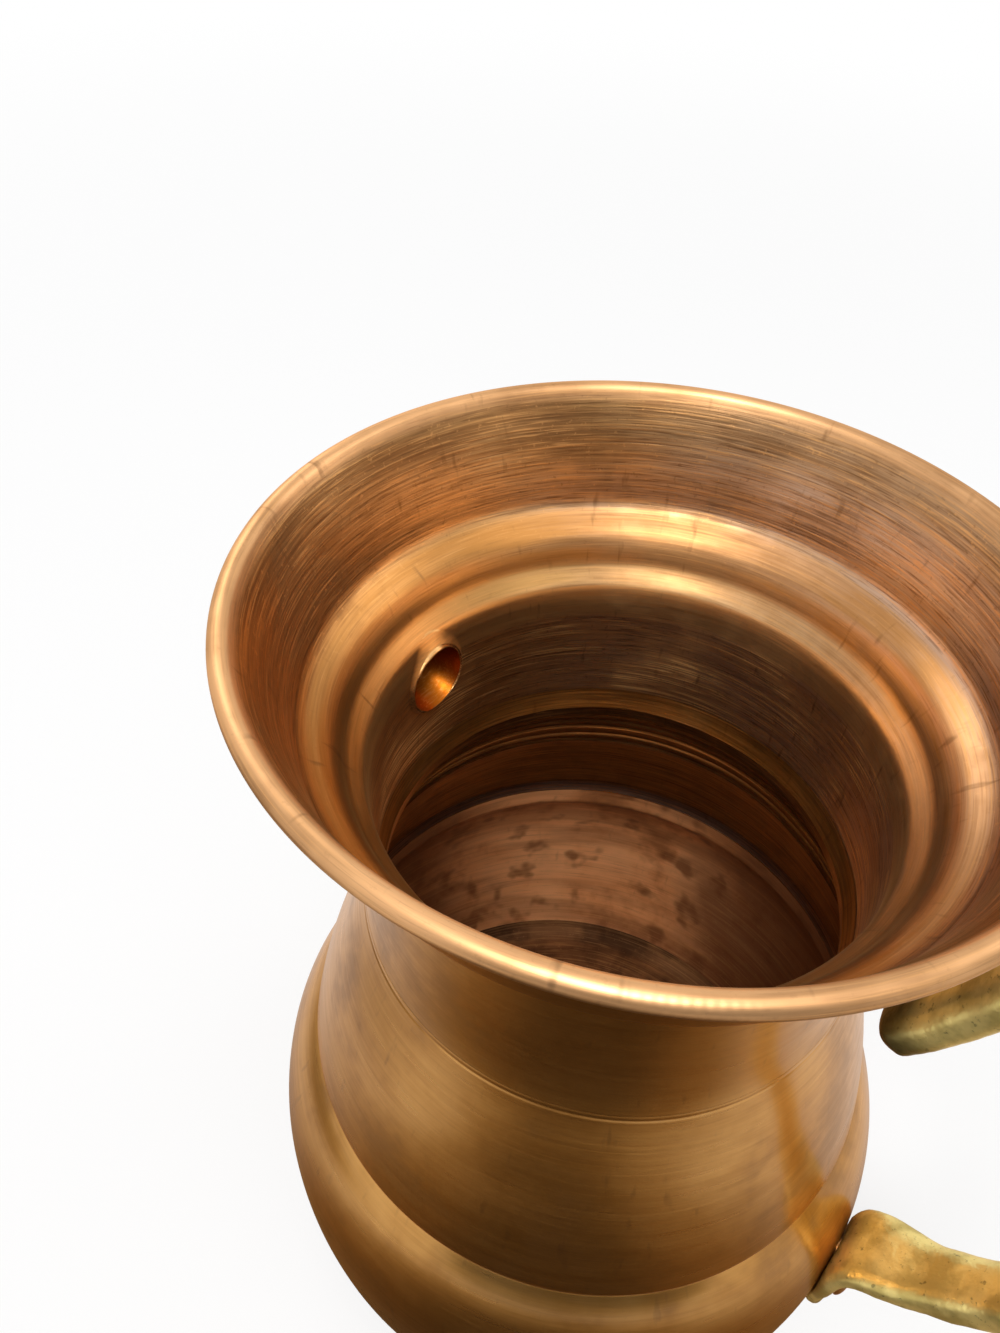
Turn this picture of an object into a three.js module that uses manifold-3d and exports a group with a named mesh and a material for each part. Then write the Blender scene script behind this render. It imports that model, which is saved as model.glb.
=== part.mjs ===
import * as THREE from 'three';
import { mergeVertices } from 'three/addons/utils/BufferGeometryUtils.js';
import Module from 'manifold-3d';

// A spun copper pitcher with a cast brass handle, in millimetres, +Z up.
// The origin is the centre of the base. The handle points along +X and the spout along -X.

const wasm = await Module();
wasm.setup();

// Sheet metal and joints
const SHEET = 0.8;
const GAP = 0.3;
const SEAM_LAP = 6;
const WAIST_LAP = 1.5;
const BRAZE_HEIGHT = 1.2;

// Belly cup: a round wall, on a shallow pan let into its foot edge to edge
const BASE_RADIUS = 54;
const BASE_EDGE = 3.6;
const ROUND_CENTRE = 46;
const BELLY_RADIUS = 66.5;
const BELLY_HEIGHT = 34;

// Shoulder: a bell between the belly seam and the waist
const SEAM_RADIUS = 58.2;
const SHOULDER_HEIGHT = 47.1;
const SHOULDER_SWELL = 3.6;
const WAIST_RADIUS = 44.4;
const WAIST_LEDGE = 0.3;

// Mouth: neck, two rounded steps, funnel and rolled rim
const NECK_HEIGHT = 30.3;
const NECK_TAPER = 0.7;
const LOW_STEP_WIDTH = 3.4;
const LOW_STEP_HEIGHT = 6.3;
const HIGH_STEP_WIDTH = 6.7;
const HIGH_STEP_HEIGHT = 8.2;
const FUNNEL_HEIGHT = 20.9;
const FUNNEL_HOLLOW = 0.9;
const MOUTH_RADIUS = 65;
const BEAD_RADIUS = 1.7;

// Spout: a straight tube through the neck wall
const SPOUT_RADIUS = 6.8;
const SPOUT_TIP_RADIUS = 5.6;
const SPOUT_ABOVE_WAIST = 24.4;
const SPOUT_RISE = THREE.MathUtils.degToRad(20);
const SPOUT_INSIDE = 2.6;
const SPOUT_STRAIGHT = 14;
const SPOUT_LENGTH = 43;
const FLANGE_WIDTH = 3;
const FLANGE_THICKNESS = 1.6;

// Handle: a cast bar from a free tip beside the funnel to a pad on the belly
const HANDLE_STANDOFF = 7.2;
const HANDLE_THICKNESS = 8.6;
const HANDLE_WIDTH = 20;
const HANDLE_TIP_DROP = 31;
const HANDLE_TIP_CURL = 2.4;
const HANDLE_REACH = 112;
const GRIP_WIDTH = 13;
const PAD_THICKNESS = 5;
const PAD_WIDTH = 19;
const PAD_TAIL = 14;
const TIP_ROUNDING = 4;
const LUG_WIDTH = 9;
const LUG_HEIGHT = 9;

// Rivets through the pad and the belly wall
const RIVET_RADIUS = 2;
const RIVET_HEAD_RADIUS = 4;
const RIVET_HEAD_HEIGHT = 1.8;
const RIVET_SPACING = 10;
const ROVE_RADIUS = 3.6;
const ROVE_THICKNESS = 1;

// Mesh fineness
const ROUND = 48;
const SMALL_ROUND = 20;
const BAR_SIDES = 14;
const BAR_SECTIONS = 34;

const at = (radius, height) => new THREE.Vector2(radius, height);

// Moves a profile sideways: to the left of its direction where the distance is positive.
function offset(profile, distance) {
  const last = profile.length - 1;
  const leftOf = (from, to) => {
    const step = to.clone().sub(from).normalize();
    return at(-step.y, step.x);
  };
  return profile.map((point, i) => {
    const before = leftOf(profile[Math.max(i - 1, 0)], profile[Math.max(i, 1)]);
    const after = leftOf(profile[Math.min(i, last - 1)], profile[Math.min(i + 1, last)]);
    const mitre = before.add(after);
    return point.clone().addScaledVector(mitre, 2 * distance / mitre.lengthSq());
  });
}

// Points of an oval arc between two angles, without its first point where skip is 1.
function arc(centre, width, height, start, end, steps, skip = 0) {
  const points = [];
  for (let i = skip; i <= steps; i += 1) {
    const angle = start + (end - start) * i / steps;
    points.push(at(centre.x + width * Math.cos(angle), centre.y + height * Math.sin(angle)));
  }
  return points;
}

// Turns a profile about the Z axis.
function turned(profile, segments = ROUND) {
  const geometry = new THREE.LatheGeometry(profile, segments);
  geometry.rotateX(Math.PI / 2);
  return geometry;
}

// A closed profile for a sheet that lies to the left of its outer side.
function sheetProfile(outer, inner) {
  const profile = [...outer, ...inner.slice().reverse()];
  if (outer[0].x > 0) {
    profile.push(outer[0].clone());
  }
  return profile;
}

// Makes a solid for boolean work from a closed geometry.
function solid(geometry) {
  const plain = geometry.clone();
  plain.deleteAttribute('normal');
  plain.deleteAttribute('uv');
  const merged = mergeVertices(plain, 1e-4);
  const corners = merged.index.array;
  const triangles = [];
  for (let i = 0; i < corners.length; i += 3) {
    const [a, b, c] = corners.slice(i, i + 3);
    if (a !== b && b !== c && c !== a) {
      triangles.push(a, b, c);
    }
  }
  return new wasm.Manifold(new wasm.Mesh({
    numProp: 3,
    vertProperties: new Float32Array(merged.attributes.position.array),
    triVerts: new Uint32Array(triangles),
  }));
}

// Makes a geometry from a solid.
function shape(body) {
  const mesh = body.getMesh();
  const geometry = new THREE.BufferGeometry();
  geometry.setAttribute('position', new THREE.BufferAttribute(mesh.vertProperties, 3));
  geometry.setIndex(new THREE.BufferAttribute(mesh.triVerts, 1));
  const flat = geometry.toNonIndexed();
  flat.computeVertexNormals();
  return flat;
}

// Belly, outside, from the middle of the base up to the lap under the shoulder
const footWidth = BELLY_RADIUS - BASE_RADIUS;
const footCentre = at(BASE_RADIUS, BELLY_HEIGHT);
const edgeAngle = Math.asin(BASE_EDGE / BELLY_HEIGHT - 1);
const edgeGap = GAP / Math.hypot(footWidth * Math.sin(edgeAngle), BELLY_HEIGHT * Math.cos(edgeAngle));
const panOutside = [
  at(0, 0),
  ...arc(footCentre, footWidth, BELLY_HEIGHT, -Math.PI / 2, edgeAngle, 4),
];
const ovalWidth = BELLY_RADIUS - ROUND_CENTRE;
const ovalCentre = at(ROUND_CENTRE, BELLY_HEIGHT);
const collarFoot = SEAM_RADIUS - SHEET - GAP;
const ovalAngle = (radius) => Math.acos((radius - ROUND_CENTRE) / ovalWidth);
const ovalHeight = (radius) => BELLY_HEIGHT + BELLY_HEIGHT * Math.sin(ovalAngle(radius));
const cupTop = ovalHeight(collarFoot);
const seamHeight = ovalHeight(SEAM_RADIUS - SHEET) + GAP;
const cupOutside = [
  ...arc(footCentre, footWidth, BELLY_HEIGHT, edgeAngle + edgeGap, 0, 6),
  ...arc(ovalCentre, ovalWidth, BELLY_HEIGHT, 0, ovalAngle(collarFoot), 6, 1),
];

// Shoulder, outside, from the seam to the waist
const waistHeight = seamHeight + SHOULDER_HEIGHT;
const shoulderCurve = new THREE.QuadraticBezierCurve(
  at(SEAM_RADIUS, seamHeight),
  at((SEAM_RADIUS + WAIST_RADIUS) / 2 + SHOULDER_SWELL, seamHeight + SHOULDER_HEIGHT / 2),
  at(WAIST_RADIUS, waistHeight),
);
const shoulderOutside = shoulderCurve.getPoints(10);
const seamTurn = shoulderCurve.getTangent(0);
const seamWallAt = (rise) => SEAM_RADIUS - SHEET + rise * seamTurn.x / seamTurn.y - 0.02 * rise;

// Mouth, inside, from the waist to the rolled rim
const neckFoot = at(WAIST_RADIUS - SHEET, waistHeight + GAP);
const neckTop = at(neckFoot.x + NECK_TAPER, neckFoot.y + NECK_HEIGHT);
const lowStep = at(neckTop.x + LOW_STEP_WIDTH, neckTop.y + LOW_STEP_HEIGHT);
const highStep = at(lowStep.x + HIGH_STEP_WIDTH, lowStep.y + HIGH_STEP_HEIGHT);
const beadCentre = at(MOUTH_RADIUS - BEAD_RADIUS, highStep.y + FUNNEL_HEIGHT);
const beadTouch = THREE.MathUtils.degToRad(157);
const beadEnd = THREE.MathUtils.degToRad(-102);
const funnelTop = at(
  beadCentre.x + BEAD_RADIUS * Math.cos(beadTouch),
  beadCentre.y + BEAD_RADIUS * Math.sin(beadTouch),
);
const funnelMiddle = highStep.clone().add(funnelTop).multiplyScalar(0.5);
const funnelCurve = new THREE.QuadraticBezierCurve(
  highStep,
  at(funnelMiddle.x - FUNNEL_HOLLOW * 2, funnelMiddle.y),
  funnelTop,
);
const stepTurn = THREE.MathUtils.degToRad(104);
const mouthWall = [
  neckFoot,
  ...arc(at(lowStep.x, neckTop.y), LOW_STEP_WIDTH, LOW_STEP_HEIGHT, Math.PI, stepTurn, 4),
  ...arc(at(highStep.x, lowStep.y), HIGH_STEP_WIDTH, HIGH_STEP_HEIGHT, Math.PI, stepTurn, 5),
  ...funnelCurve.getPoints(4),
];
const rolledRim = arc(beadCentre, BEAD_RADIUS, BEAD_RADIUS, beadTouch, beadEnd, 9, 1);
const mouthInside = [...mouthWall, ...rolledRim];
const mouthOutside = offset(mouthInside, -SHEET);
const mouthWallOutside = offset(mouthWall, -SHEET);

// A solid that fills the body up to a clearance outside one of its profiles.
function filled(outside, clearance) {
  const skin = offset(outside, -clearance);
  const first = skin[0];
  const final = skin[skin.length - 1];
  const profile = [at(0, first.y), ...skin, at(0, final.y)];
  return solid(turned(profile.filter((point, i) => i === 0 || point.distanceTo(profile[i - 1]) > 1e-6)));
}

// A cylinder along the X axis between two distances, at a height.
function cylinderAlongX(radius, from, to, height) {
  const geometry = new THREE.CylinderGeometry(radius, radius, to - from, SMALL_ROUND);
  geometry.rotateZ(-Math.PI / 2);
  geometry.translate((from + to) / 2, 0, height);
  return geometry;
}

// Spout pieces are turned about Z, then laid along the spout's axis through the neck wall.
const neckInside = neckFoot.x + NECK_TAPER * SPOUT_ABOVE_WAIST / NECK_HEIGHT;
function alongSpout(geometry) {
  geometry.rotateY(SPOUT_RISE - Math.PI / 2);
  geometry.translate(-neckInside - SHEET / 2, 0, waistHeight + SPOUT_ABOVE_WAIST);
  return geometry;
}

function makeMouthShell() {
  const hole = alongSpout(turned([
    at(0, -2 * SPOUT_RADIUS),
    at(SPOUT_RADIUS + GAP, -2 * SPOUT_RADIUS),
    at(SPOUT_RADIUS + GAP, 2 * SPOUT_RADIUS),
    at(0, 2 * SPOUT_RADIUS),
  ], 2 * SMALL_ROUND));
  const shell = solid(turned(sheetProfile(mouthOutside, mouthInside)));
  return shape(shell.subtract(solid(hole)));
}

function makeShoulderShell() {
  const collarRadius = WAIST_RADIUS - SHEET - GAP;
  const collarTaper = NECK_TAPER * WAIST_LAP / NECK_HEIGHT;
  const outside = [
    ...shoulderOutside.slice(0, -1),
    at(WAIST_RADIUS + WAIST_LEDGE, waistHeight),
    at(collarRadius, waistHeight),
    at(collarRadius + collarTaper, waistHeight + WAIST_LAP),
  ];
  return turned(sheetProfile(outside, offset(outside, SHEET)));
}

function makeBellyCup() {
  const outside = [...cupOutside, at(seamWallAt(SEAM_LAP) - GAP, cupTop + SEAM_LAP)];
  const cup = solid(turned(sheetProfile(outside, offset(outside, SHEET))));
  const drill = (height) => solid(cylinderAlongX(RIVET_RADIUS + GAP, ROUND_CENTRE, padFace, height));
  return shape(rivetHeights.reduce((body, height) => body.subtract(drill(height)), cup));
}

function makeBasePan() {
  return turned(sheetProfile(panOutside, offset(panOutside, SHEET)));
}

function makeRimWire() {
  const wire = new THREE.TorusGeometry(beadCentre.x, BEAD_RADIUS - SHEET - GAP, 8, ROUND);
  wire.translate(0, 0, beadCentre.y);
  return wire;
}

// A small fillet ring that stands on the top edge of a lap collar, against the wall outside it.
function makeBrazeRing(wallRadius, height, lean) {
  const outside = wallRadius - GAP;
  return turned([
    at(outside - SHEET, height),
    at(outside, height),
    at(outside + lean * BRAZE_HEIGHT, height + BRAZE_HEIGHT),
    at(outside - 0.5 * SHEET, height + 0.5 * BRAZE_HEIGHT),
    at(outside - SHEET, height),
  ]);
}

// The tube, cut upright where it stands out inside the neck.
function makeSpoutTube() {
  const outside = [
    at(SPOUT_RADIUS, -2 * SPOUT_RADIUS),
    at(SPOUT_RADIUS, SPOUT_STRAIGHT),
    at(SPOUT_TIP_RADIUS, SPOUT_LENGTH),
  ];
  const tube = solid(alongSpout(turned(sheetProfile(outside, offset(outside, SHEET)), 2 * SMALL_ROUND)));
  const block = new THREE.BoxGeometry(6 * SPOUT_RADIUS, 6 * SPOUT_RADIUS, 6 * SPOUT_RADIUS);
  block.translate(SPOUT_INSIDE - neckInside + 3 * SPOUT_RADIUS, 0, waistHeight + SPOUT_ABOVE_WAIST);
  return shape(tube.subtract(solid(block)));
}

function makeSpoutFlange() {
  const sleeve = [
    at(SPOUT_RADIUS + GAP, -2 * SPOUT_RADIUS),
    at(SPOUT_RADIUS + FLANGE_WIDTH, -2 * SPOUT_RADIUS),
    at(SPOUT_RADIUS + FLANGE_WIDTH, 2 * SPOUT_RADIUS),
    at(SPOUT_RADIUS + GAP, 2 * SPOUT_RADIUS),
    at(SPOUT_RADIUS + GAP, -2 * SPOUT_RADIUS),
  ];
  const ring = solid(alongSpout(turned(sleeve, 2 * SMALL_ROUND)));
  const neckSide = ring.intersect(filled(mouthWallOutside, GAP + FLANGE_THICKNESS));
  return shape(neckSide.subtract(filled(mouthWallOutside, GAP)));
}

// Handle: a bar whose centre line lies in the XZ plane
const funnelAlong = funnelTop.clone().sub(highStep).normalize();
const funnelOut = at(funnelAlong.y, -funnelAlong.x);
const armOffset = SHEET + HANDLE_STANDOFF + HANDLE_THICKNESS / 2;
const armPoint = (along, inward) => highStep.clone()
  .addScaledVector(funnelAlong, along)
  .addScaledVector(funnelOut, armOffset - inward);
const padRadius = BELLY_RADIUS + PAD_THICKNESS / 2 - 1.5;
const padFace = padRadius + PAD_THICKNESS / 2;
const handleTop = beadCentre.y - 3;
const bowMiddle = (handleTop + BELLY_HEIGHT) / 2;
const rivetHeights = [BELLY_HEIGHT + RIVET_SPACING / 2, BELLY_HEIGHT - RIVET_SPACING / 2];
const shoulderOfBow = (share) => MOUTH_RADIUS + (HANDLE_REACH - MOUTH_RADIUS) * share;
const handleLine = new THREE.CatmullRomCurve3([
  armPoint(-HANDLE_TIP_DROP, HANDLE_TIP_CURL),
  armPoint(-HANDLE_TIP_DROP / 2, HANDLE_TIP_CURL / 4),
  armPoint(0, 0),
  armPoint(HANDLE_TIP_DROP / 3, 0),
  at(shoulderOfBow(0.17), handleTop - 5),
  at(shoulderOfBow(0.36), handleTop),
  at(shoulderOfBow(0.64), handleTop - 4.5),
  at(shoulderOfBow(0.88), handleTop - 21),
  at(HANDLE_REACH, bowMiddle + 24),
  at(shoulderOfBow(0.95), bowMiddle - 6),
  at(shoulderOfBow(0.72), bowMiddle - 30),
  at(shoulderOfBow(0.4), BELLY_HEIGHT + 20),
  at(padRadius + 2.2, BELLY_HEIGHT + 11),
  at(padRadius, BELLY_HEIGHT),
  at(padRadius, BELLY_HEIGHT - PAD_TAIL),
].map((point) => new THREE.Vector3(point.x, 0, point.y)), false, 'centripetal');

// A value read off a row of stops, each a share of the length and a size.
function sizeAt(stops, share) {
  const next = Math.max(1, stops.findIndex(([place]) => place >= share));
  const [fromPlace, fromSize] = stops[next - 1];
  const [toPlace, toSize] = stops[next];
  const blend = THREE.MathUtils.smoothstep(share, fromPlace, toPlace);
  return fromSize + (toSize - fromSize) * blend;
}

const widthStops = [
  [0, HANDLE_WIDTH],
  [0.2, HANDLE_WIDTH],
  [0.45, GRIP_WIDTH],
  [0.8, GRIP_WIDTH],
  [0.92, PAD_WIDTH],
  [1, PAD_WIDTH * 0.7],
];
const thicknessStops = [
  [0, HANDLE_THICKNESS],
  [0.3, HANDLE_THICKNESS],
  [0.5, HANDLE_THICKNESS + 1],
  [0.8, HANDLE_THICKNESS],
  [0.92, PAD_THICKNESS],
  [1, PAD_THICKNESS],
];

// A bar along the handle's line, with rounded ends, grown on all sides by a clearance.
function makeBar(grow) {
  const length = handleLine.getLength();
  const positions = [];
  const corners = [];
  const side = new THREE.Vector3(0, 1, 0);
  for (let i = 0; i <= BAR_SECTIONS; i += 1) {
    const share = 0.5 - 0.5 * Math.cos(Math.PI * i / BAR_SECTIONS);
    const place = 0.35 * share + 0.65 * i / BAR_SECTIONS;
    const along = handleLine.getTangentAt(place);
    const out = new THREE.Vector3().crossVectors(along, side);
    const middle = handleLine.getPointAt(place);
    const fromEnd = Math.min(place, 1 - place) * length;
    const round = Math.sqrt(1 - Math.max(0, 1 - fromEnd / TIP_ROUNDING) ** 2 * 0.6);
    const halfWidth = sizeAt(widthStops, place) / 2 * round + grow;
    const halfThickness = sizeAt(thicknessStops, place) / 2 * round + grow;
    for (let j = 0; j < BAR_SIDES; j += 1) {
      const turn = 2 * Math.PI * j / BAR_SIDES;
      const across = Math.sign(Math.cos(turn)) * Math.abs(Math.cos(turn)) ** 0.7;
      const up = Math.sign(Math.sin(turn)) * Math.abs(Math.sin(turn)) ** 0.7;
      const corner = middle.clone()
        .addScaledVector(side, halfWidth * across)
        .addScaledVector(out, halfThickness * up);
      positions.push(corner.x, corner.y, corner.z);
    }
  }
  for (let i = 0; i < BAR_SECTIONS; i += 1) {
    for (let j = 0; j < BAR_SIDES; j += 1) {
      const here = i * BAR_SIDES + j;
      const beside = i * BAR_SIDES + (j + 1) % BAR_SIDES;
      corners.push(here, beside, beside + BAR_SIDES, here, beside + BAR_SIDES, here + BAR_SIDES);
    }
  }
  const lastRing = BAR_SECTIONS * BAR_SIDES;
  for (let j = 1; j < BAR_SIDES - 1; j += 1) {
    corners.push(0, j + 1, j, lastRing, lastRing + j, lastRing + j + 1);
  }
  const geometry = new THREE.BufferGeometry();
  geometry.setAttribute('position', new THREE.Float32BufferAttribute(positions, 3));
  geometry.setIndex(corners);
  return geometry;
}

// The bar fitted to the belly, with rivet holes and a flat seat for each rivet head.
function makeHandle() {
  let bar = solid(makeBar(0)).subtract(filled(cupOutside, GAP));
  for (const height of rivetHeights) {
    bar = bar.subtract(solid(cylinderAlongX(RIVET_RADIUS + GAP, BELLY_RADIUS - 8, padFace, height)));
    bar = bar.subtract(solid(cylinderAlongX(RIVET_HEAD_RADIUS + GAP, padFace, padFace + 20, height)));
  }
  return shape(bar);
}

// The lug between the handle's arm and the funnel, brazed to both.
function makeHandleLug() {
  const depth = 2 * armOffset;
  const block = new THREE.BoxGeometry(depth, LUG_WIDTH, LUG_HEIGHT);
  block.rotateY(Math.atan2(funnelAlong.x, funnelAlong.y));
  const middle = highStep.clone().addScaledVector(funnelAlong, LUG_HEIGHT);
  block.translate(middle.x, 0, middle.y);
  const lug = solid(block).subtract(filled(mouthWallOutside, GAP)).subtract(solid(makeBar(GAP)));
  return shape(lug);
}

const cupInsideAt = (height) => ROUND_CENTRE - SHEET
  + ovalWidth * Math.sqrt(1 - ((height - BELLY_HEIGHT) / BELLY_HEIGHT) ** 2);
const roveSeat = cupInsideAt(rivetHeights[0] + ROVE_RADIUS) - ROVE_RADIUS ** 2 / ROUND_CENTRE;
const roveFace = roveSeat - GAP - ROVE_THICKNESS;

// A rivet along X: a domed head outside the pad, a shank, and a tail spread over the rove.
function makeRivet(height) {
  const head = padFace + GAP;
  const tail = roveFace - GAP;
  const profile = [
    at(0, tail - ROVE_THICKNESS),
    at(RIVET_RADIUS * 1.2, tail - ROVE_THICKNESS),
    at(RIVET_RADIUS * 1.6, tail),
    at(RIVET_RADIUS, tail),
    at(RIVET_RADIUS, head),
    ...arc(at(0, head), RIVET_HEAD_RADIUS, RIVET_HEAD_HEIGHT, 0, Math.PI / 2, 4),
  ];
  const dome = profile[profile.length - 1];
  profile[profile.length - 1] = at(0, dome.y);
  const geometry = turned(profile, SMALL_ROUND);
  geometry.rotateY(Math.PI / 2);
  geometry.translate(0, 0, height);
  return geometry;
}

function makeRove(height) {
  const geometry = turned([
    at(RIVET_RADIUS + GAP, roveFace),
    at(ROVE_RADIUS, roveFace),
    at(ROVE_RADIUS, roveFace + ROVE_THICKNESS),
    at(RIVET_RADIUS + GAP, roveFace + ROVE_THICKNESS),
    at(RIVET_RADIUS + GAP, roveFace),
  ], SMALL_ROUND);
  geometry.rotateY(Math.PI / 2);
  geometry.translate(0, 0, height);
  return geometry;
}

// Finishes: colour, roughness and metalness
const copper = () => new THREE.MeshStandardMaterial({ color: 0xa8683c, roughness: 0.38, metalness: 1 });
const darkCopper = () => new THREE.MeshStandardMaterial({ color: 0x8a5330, roughness: 0.45, metalness: 1 });
const brass = () => new THREE.MeshStandardMaterial({ color: 0xb8a04e, roughness: 0.5, metalness: 1 });

const pitcher = new THREE.Group();

function add(name, geometry, material) {
  const mesh = new THREE.Mesh(geometry, material);
  mesh.name = name;
  pitcher.add(mesh);
}

const waistLean = NECK_TAPER / NECK_HEIGHT;
const seamLean = seamTurn.x / seamTurn.y;
const waistBraze = waistHeight + WAIST_LAP + GAP;
const bellyBraze = cupTop + SEAM_LAP + GAP;

add('mouth_shell', makeMouthShell(), copper());
add('rim_wire', makeRimWire(), copper());
add('shoulder_shell', makeShoulderShell(), copper());
add('belly_cup', makeBellyCup(), darkCopper());
add('base_pan', makeBasePan(), darkCopper());
add('waist_braze_ring', makeBrazeRing(neckFoot.x, waistBraze, waistLean), brass());
add('belly_braze_ring', makeBrazeRing(seamWallAt(SEAM_LAP), bellyBraze, seamLean), brass());
add('spout_tube', makeSpoutTube(), copper());
add('spout_flange', makeSpoutFlange(), copper());
add('handle', makeHandle(), brass());
add('handle_lug', makeHandleLug(), brass());
add('lower_rivet_top', makeRivet(rivetHeights[0]), copper());
add('lower_rivet_bottom', makeRivet(rivetHeights[1]), copper());
add('lower_rove_top', makeRove(rivetHeights[0]), copper());
add('lower_rove_bottom', makeRove(rivetHeights[1]), copper());

export default pitcher;
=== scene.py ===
"""A spun copper pitcher with a cast brass handle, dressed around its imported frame.

Sizes are in millimetres unless a name says otherwise. Meshes are in metres, in the frame's axes:
+Z up from the centre of the base, the handle along +X and the spout along -X.
"""

import logging
import math
from collections.abc import Callable, Sequence
from dataclasses import dataclass, field, replace
from enum import Enum

import bmesh
import bpy
import numpy as np
from mathutils import Matrix, Vector, noise
from mathutils.bvhtree import BVHTree


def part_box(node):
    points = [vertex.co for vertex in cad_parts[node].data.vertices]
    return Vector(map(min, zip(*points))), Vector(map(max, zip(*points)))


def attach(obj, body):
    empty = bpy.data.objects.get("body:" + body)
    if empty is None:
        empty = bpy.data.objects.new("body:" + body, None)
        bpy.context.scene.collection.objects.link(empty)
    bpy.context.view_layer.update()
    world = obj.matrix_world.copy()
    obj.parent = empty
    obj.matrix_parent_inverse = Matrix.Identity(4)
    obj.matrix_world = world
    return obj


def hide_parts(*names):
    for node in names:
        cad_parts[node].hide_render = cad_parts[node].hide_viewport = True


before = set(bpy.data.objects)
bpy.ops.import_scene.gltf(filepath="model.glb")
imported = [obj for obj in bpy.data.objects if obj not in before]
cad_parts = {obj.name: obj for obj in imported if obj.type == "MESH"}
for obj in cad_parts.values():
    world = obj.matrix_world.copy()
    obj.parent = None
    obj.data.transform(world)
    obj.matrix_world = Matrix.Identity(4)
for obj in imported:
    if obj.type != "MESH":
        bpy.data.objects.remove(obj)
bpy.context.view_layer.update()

MM = 0.001
BODY = "root"
WALL_WIDTH = 90.0
log = logging.getLogger("pitcher")

Colour = tuple[float, float, float]
Socket = bpy.types.NodeSocket
Points = np.ndarray
Waves = tuple[tuple[int, float, float], ...]
Wobble = Callable[[Points, Points, Points], Points]


# Profiles and meshes

def arc(centre: tuple[float, float], width: float, height: float, start: float, end: float, steps: int) -> Points:
    """Gives points on an oval, of a half width and a half height, between two angles in degrees."""
    angles = np.radians(np.linspace(start, end, steps + 1))
    return np.column_stack((centre[0] + width * np.cos(angles), centre[1] + height * np.sin(angles)))


def bow(start: Sequence[float], pull: Sequence[float], end: Sequence[float], steps: int) -> Points:
    """Gives points on a curve that leaves start towards pull and arrives at end from it.

    Args:
        start: First point.
        pull: Point that bends the curve.
        end: Last point.
        steps: Number of steps.

    Returns:
        Rows of radius and height.
    """
    share = np.linspace(0, 1, steps + 1)[:, None]
    first, middle, last = (np.array(point, float) for point in (start, pull, end))
    return (1 - share) ** 2 * first + 2 * share * (1 - share) * middle + share ** 2 * last


def full_turn(sides: int) -> Points:
    """Gives evenly spaced angles round a turn."""
    return np.linspace(0, 2 * math.pi, sides, endpoint=False)


def soft_square(turn: Points, power: float) -> tuple[Points, Points]:
    """Gives points round a form between a circle and a square: their shares sideways and upwards."""
    across, lift = (np.sign(wave) * np.abs(wave) ** power for wave in (np.cos(turn), np.sin(turn)))
    return across, lift


def lengths(points: Points) -> Points:
    """Gives the distance of each point along its row."""
    steps = np.linalg.norm(np.diff(points, axis=0), axis=1)
    return np.concatenate(([0.0], np.cumsum(steps)))


def evenly(points: Points, step: float) -> Points:
    """Spaces a row of points evenly, with both ends kept.

    Args:
        points: Rows of coordinates.
        step: Spacing, about.

    Returns:
        The new rows.
    """
    along = lengths(points)
    keep = np.concatenate(([True], np.diff(along) > 1e-9))
    count = max(2, int(round(along[-1] / step)))
    places = np.linspace(0, along[-1], count + 1)
    return np.column_stack([np.interp(places, along[keep], column[keep]) for column in points.T])


def eased(points: Points, reach: float, step: float) -> Points:
    """Rounds the corners of a row of points, as sheet metal does over a former.

    Args:
        points: Rows of radius and height.
        reach: How far the rounding reaches along the row.
        step: Spacing of the result.

    Returns:
        Evenly spaced rows, with the same two ends.
    """
    fine = evenly(points, step)
    half = max(1, int(round(2.5 * reach / step)))
    weights = np.exp(-0.5 * (np.arange(-half, half + 1) * step / reach) ** 2)
    weights /= weights.sum()
    before = 2 * fine[0] - fine[half:0:-1]
    after = 2 * fine[-1] - fine[-2:-half - 2:-1]
    padded = np.vstack((before, fine, after))
    smooth = np.column_stack([np.convolve(column, weights, mode="valid") for column in padded.T])
    smooth[0] = fine[0]
    smooth[-1] = fine[-1]
    return smooth


def normals(points: Points) -> Points:
    """Gives the direction to the left of a row at each of its points.

    Args:
        points: Rows of two coordinates.

    Returns:
        Directions of length one.
    """
    step = np.gradient(points, axis=0)
    step /= np.linalg.norm(step, axis=1)[:, None]
    return np.column_stack((-step[:, 1], step[:, 0]))


def shifted(points: Points, distance: float | Points) -> Points:
    """Moves a row of points sideways: to its left where the distance is positive."""
    amount = np.broadcast_to(np.asarray(distance, float), len(points))
    return points + normals(points) * amount[:, None]


def swell(places: Points, centres: Sequence[float], width: float) -> Points:
    """Adds up soft ridges of height one at the given places."""
    return sum(np.exp(-0.5 * ((places - centre) / width) ** 2) for centre in centres)


def ledges(places: Points, starts: Sequence[float], rise: float, fall: float) -> Points:
    """Adds up ledges of height one, each with a short rise to its start and a long fall after it.

    Args:
        places: Distances along the row.
        starts: Distance at which each ledge is highest.
        rise: Length of the rise.
        fall: Length over which most of the ledge falls off.

    Returns:
        The sum at each place.
    """
    past = places - np.asarray(starts)[:, None]
    climb = np.clip(1 + past / rise, 0, 1)
    return np.where(past < 0, climb ** 2 * (3 - 2 * climb), np.exp(-past / fall)).sum(axis=0)


def dents(angle: Points, height: Points, places: Sequence[tuple[float, float, float, float]]) -> Points:
    """Gives the depth of round dents in a turned wall.

    Args:
        angle: Angles round the axis, in radians.
        height: Heights of the same points, in millimetres.
        places: Azimuth in degrees, height, reach and depth of each dent.

    Returns:
        How far each point is pushed in, in millimetres.
    """
    depth = 0 * angle + 0 * height
    for azimuth, middle, reach, deep in places:
        aside = np.sin((angle - math.radians(azimuth)) / 2) * WALL_WIDTH
        depth = depth + deep * np.exp(-(aside / reach) ** 2 - ((height - middle) / reach) ** 2)
    return depth


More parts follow.
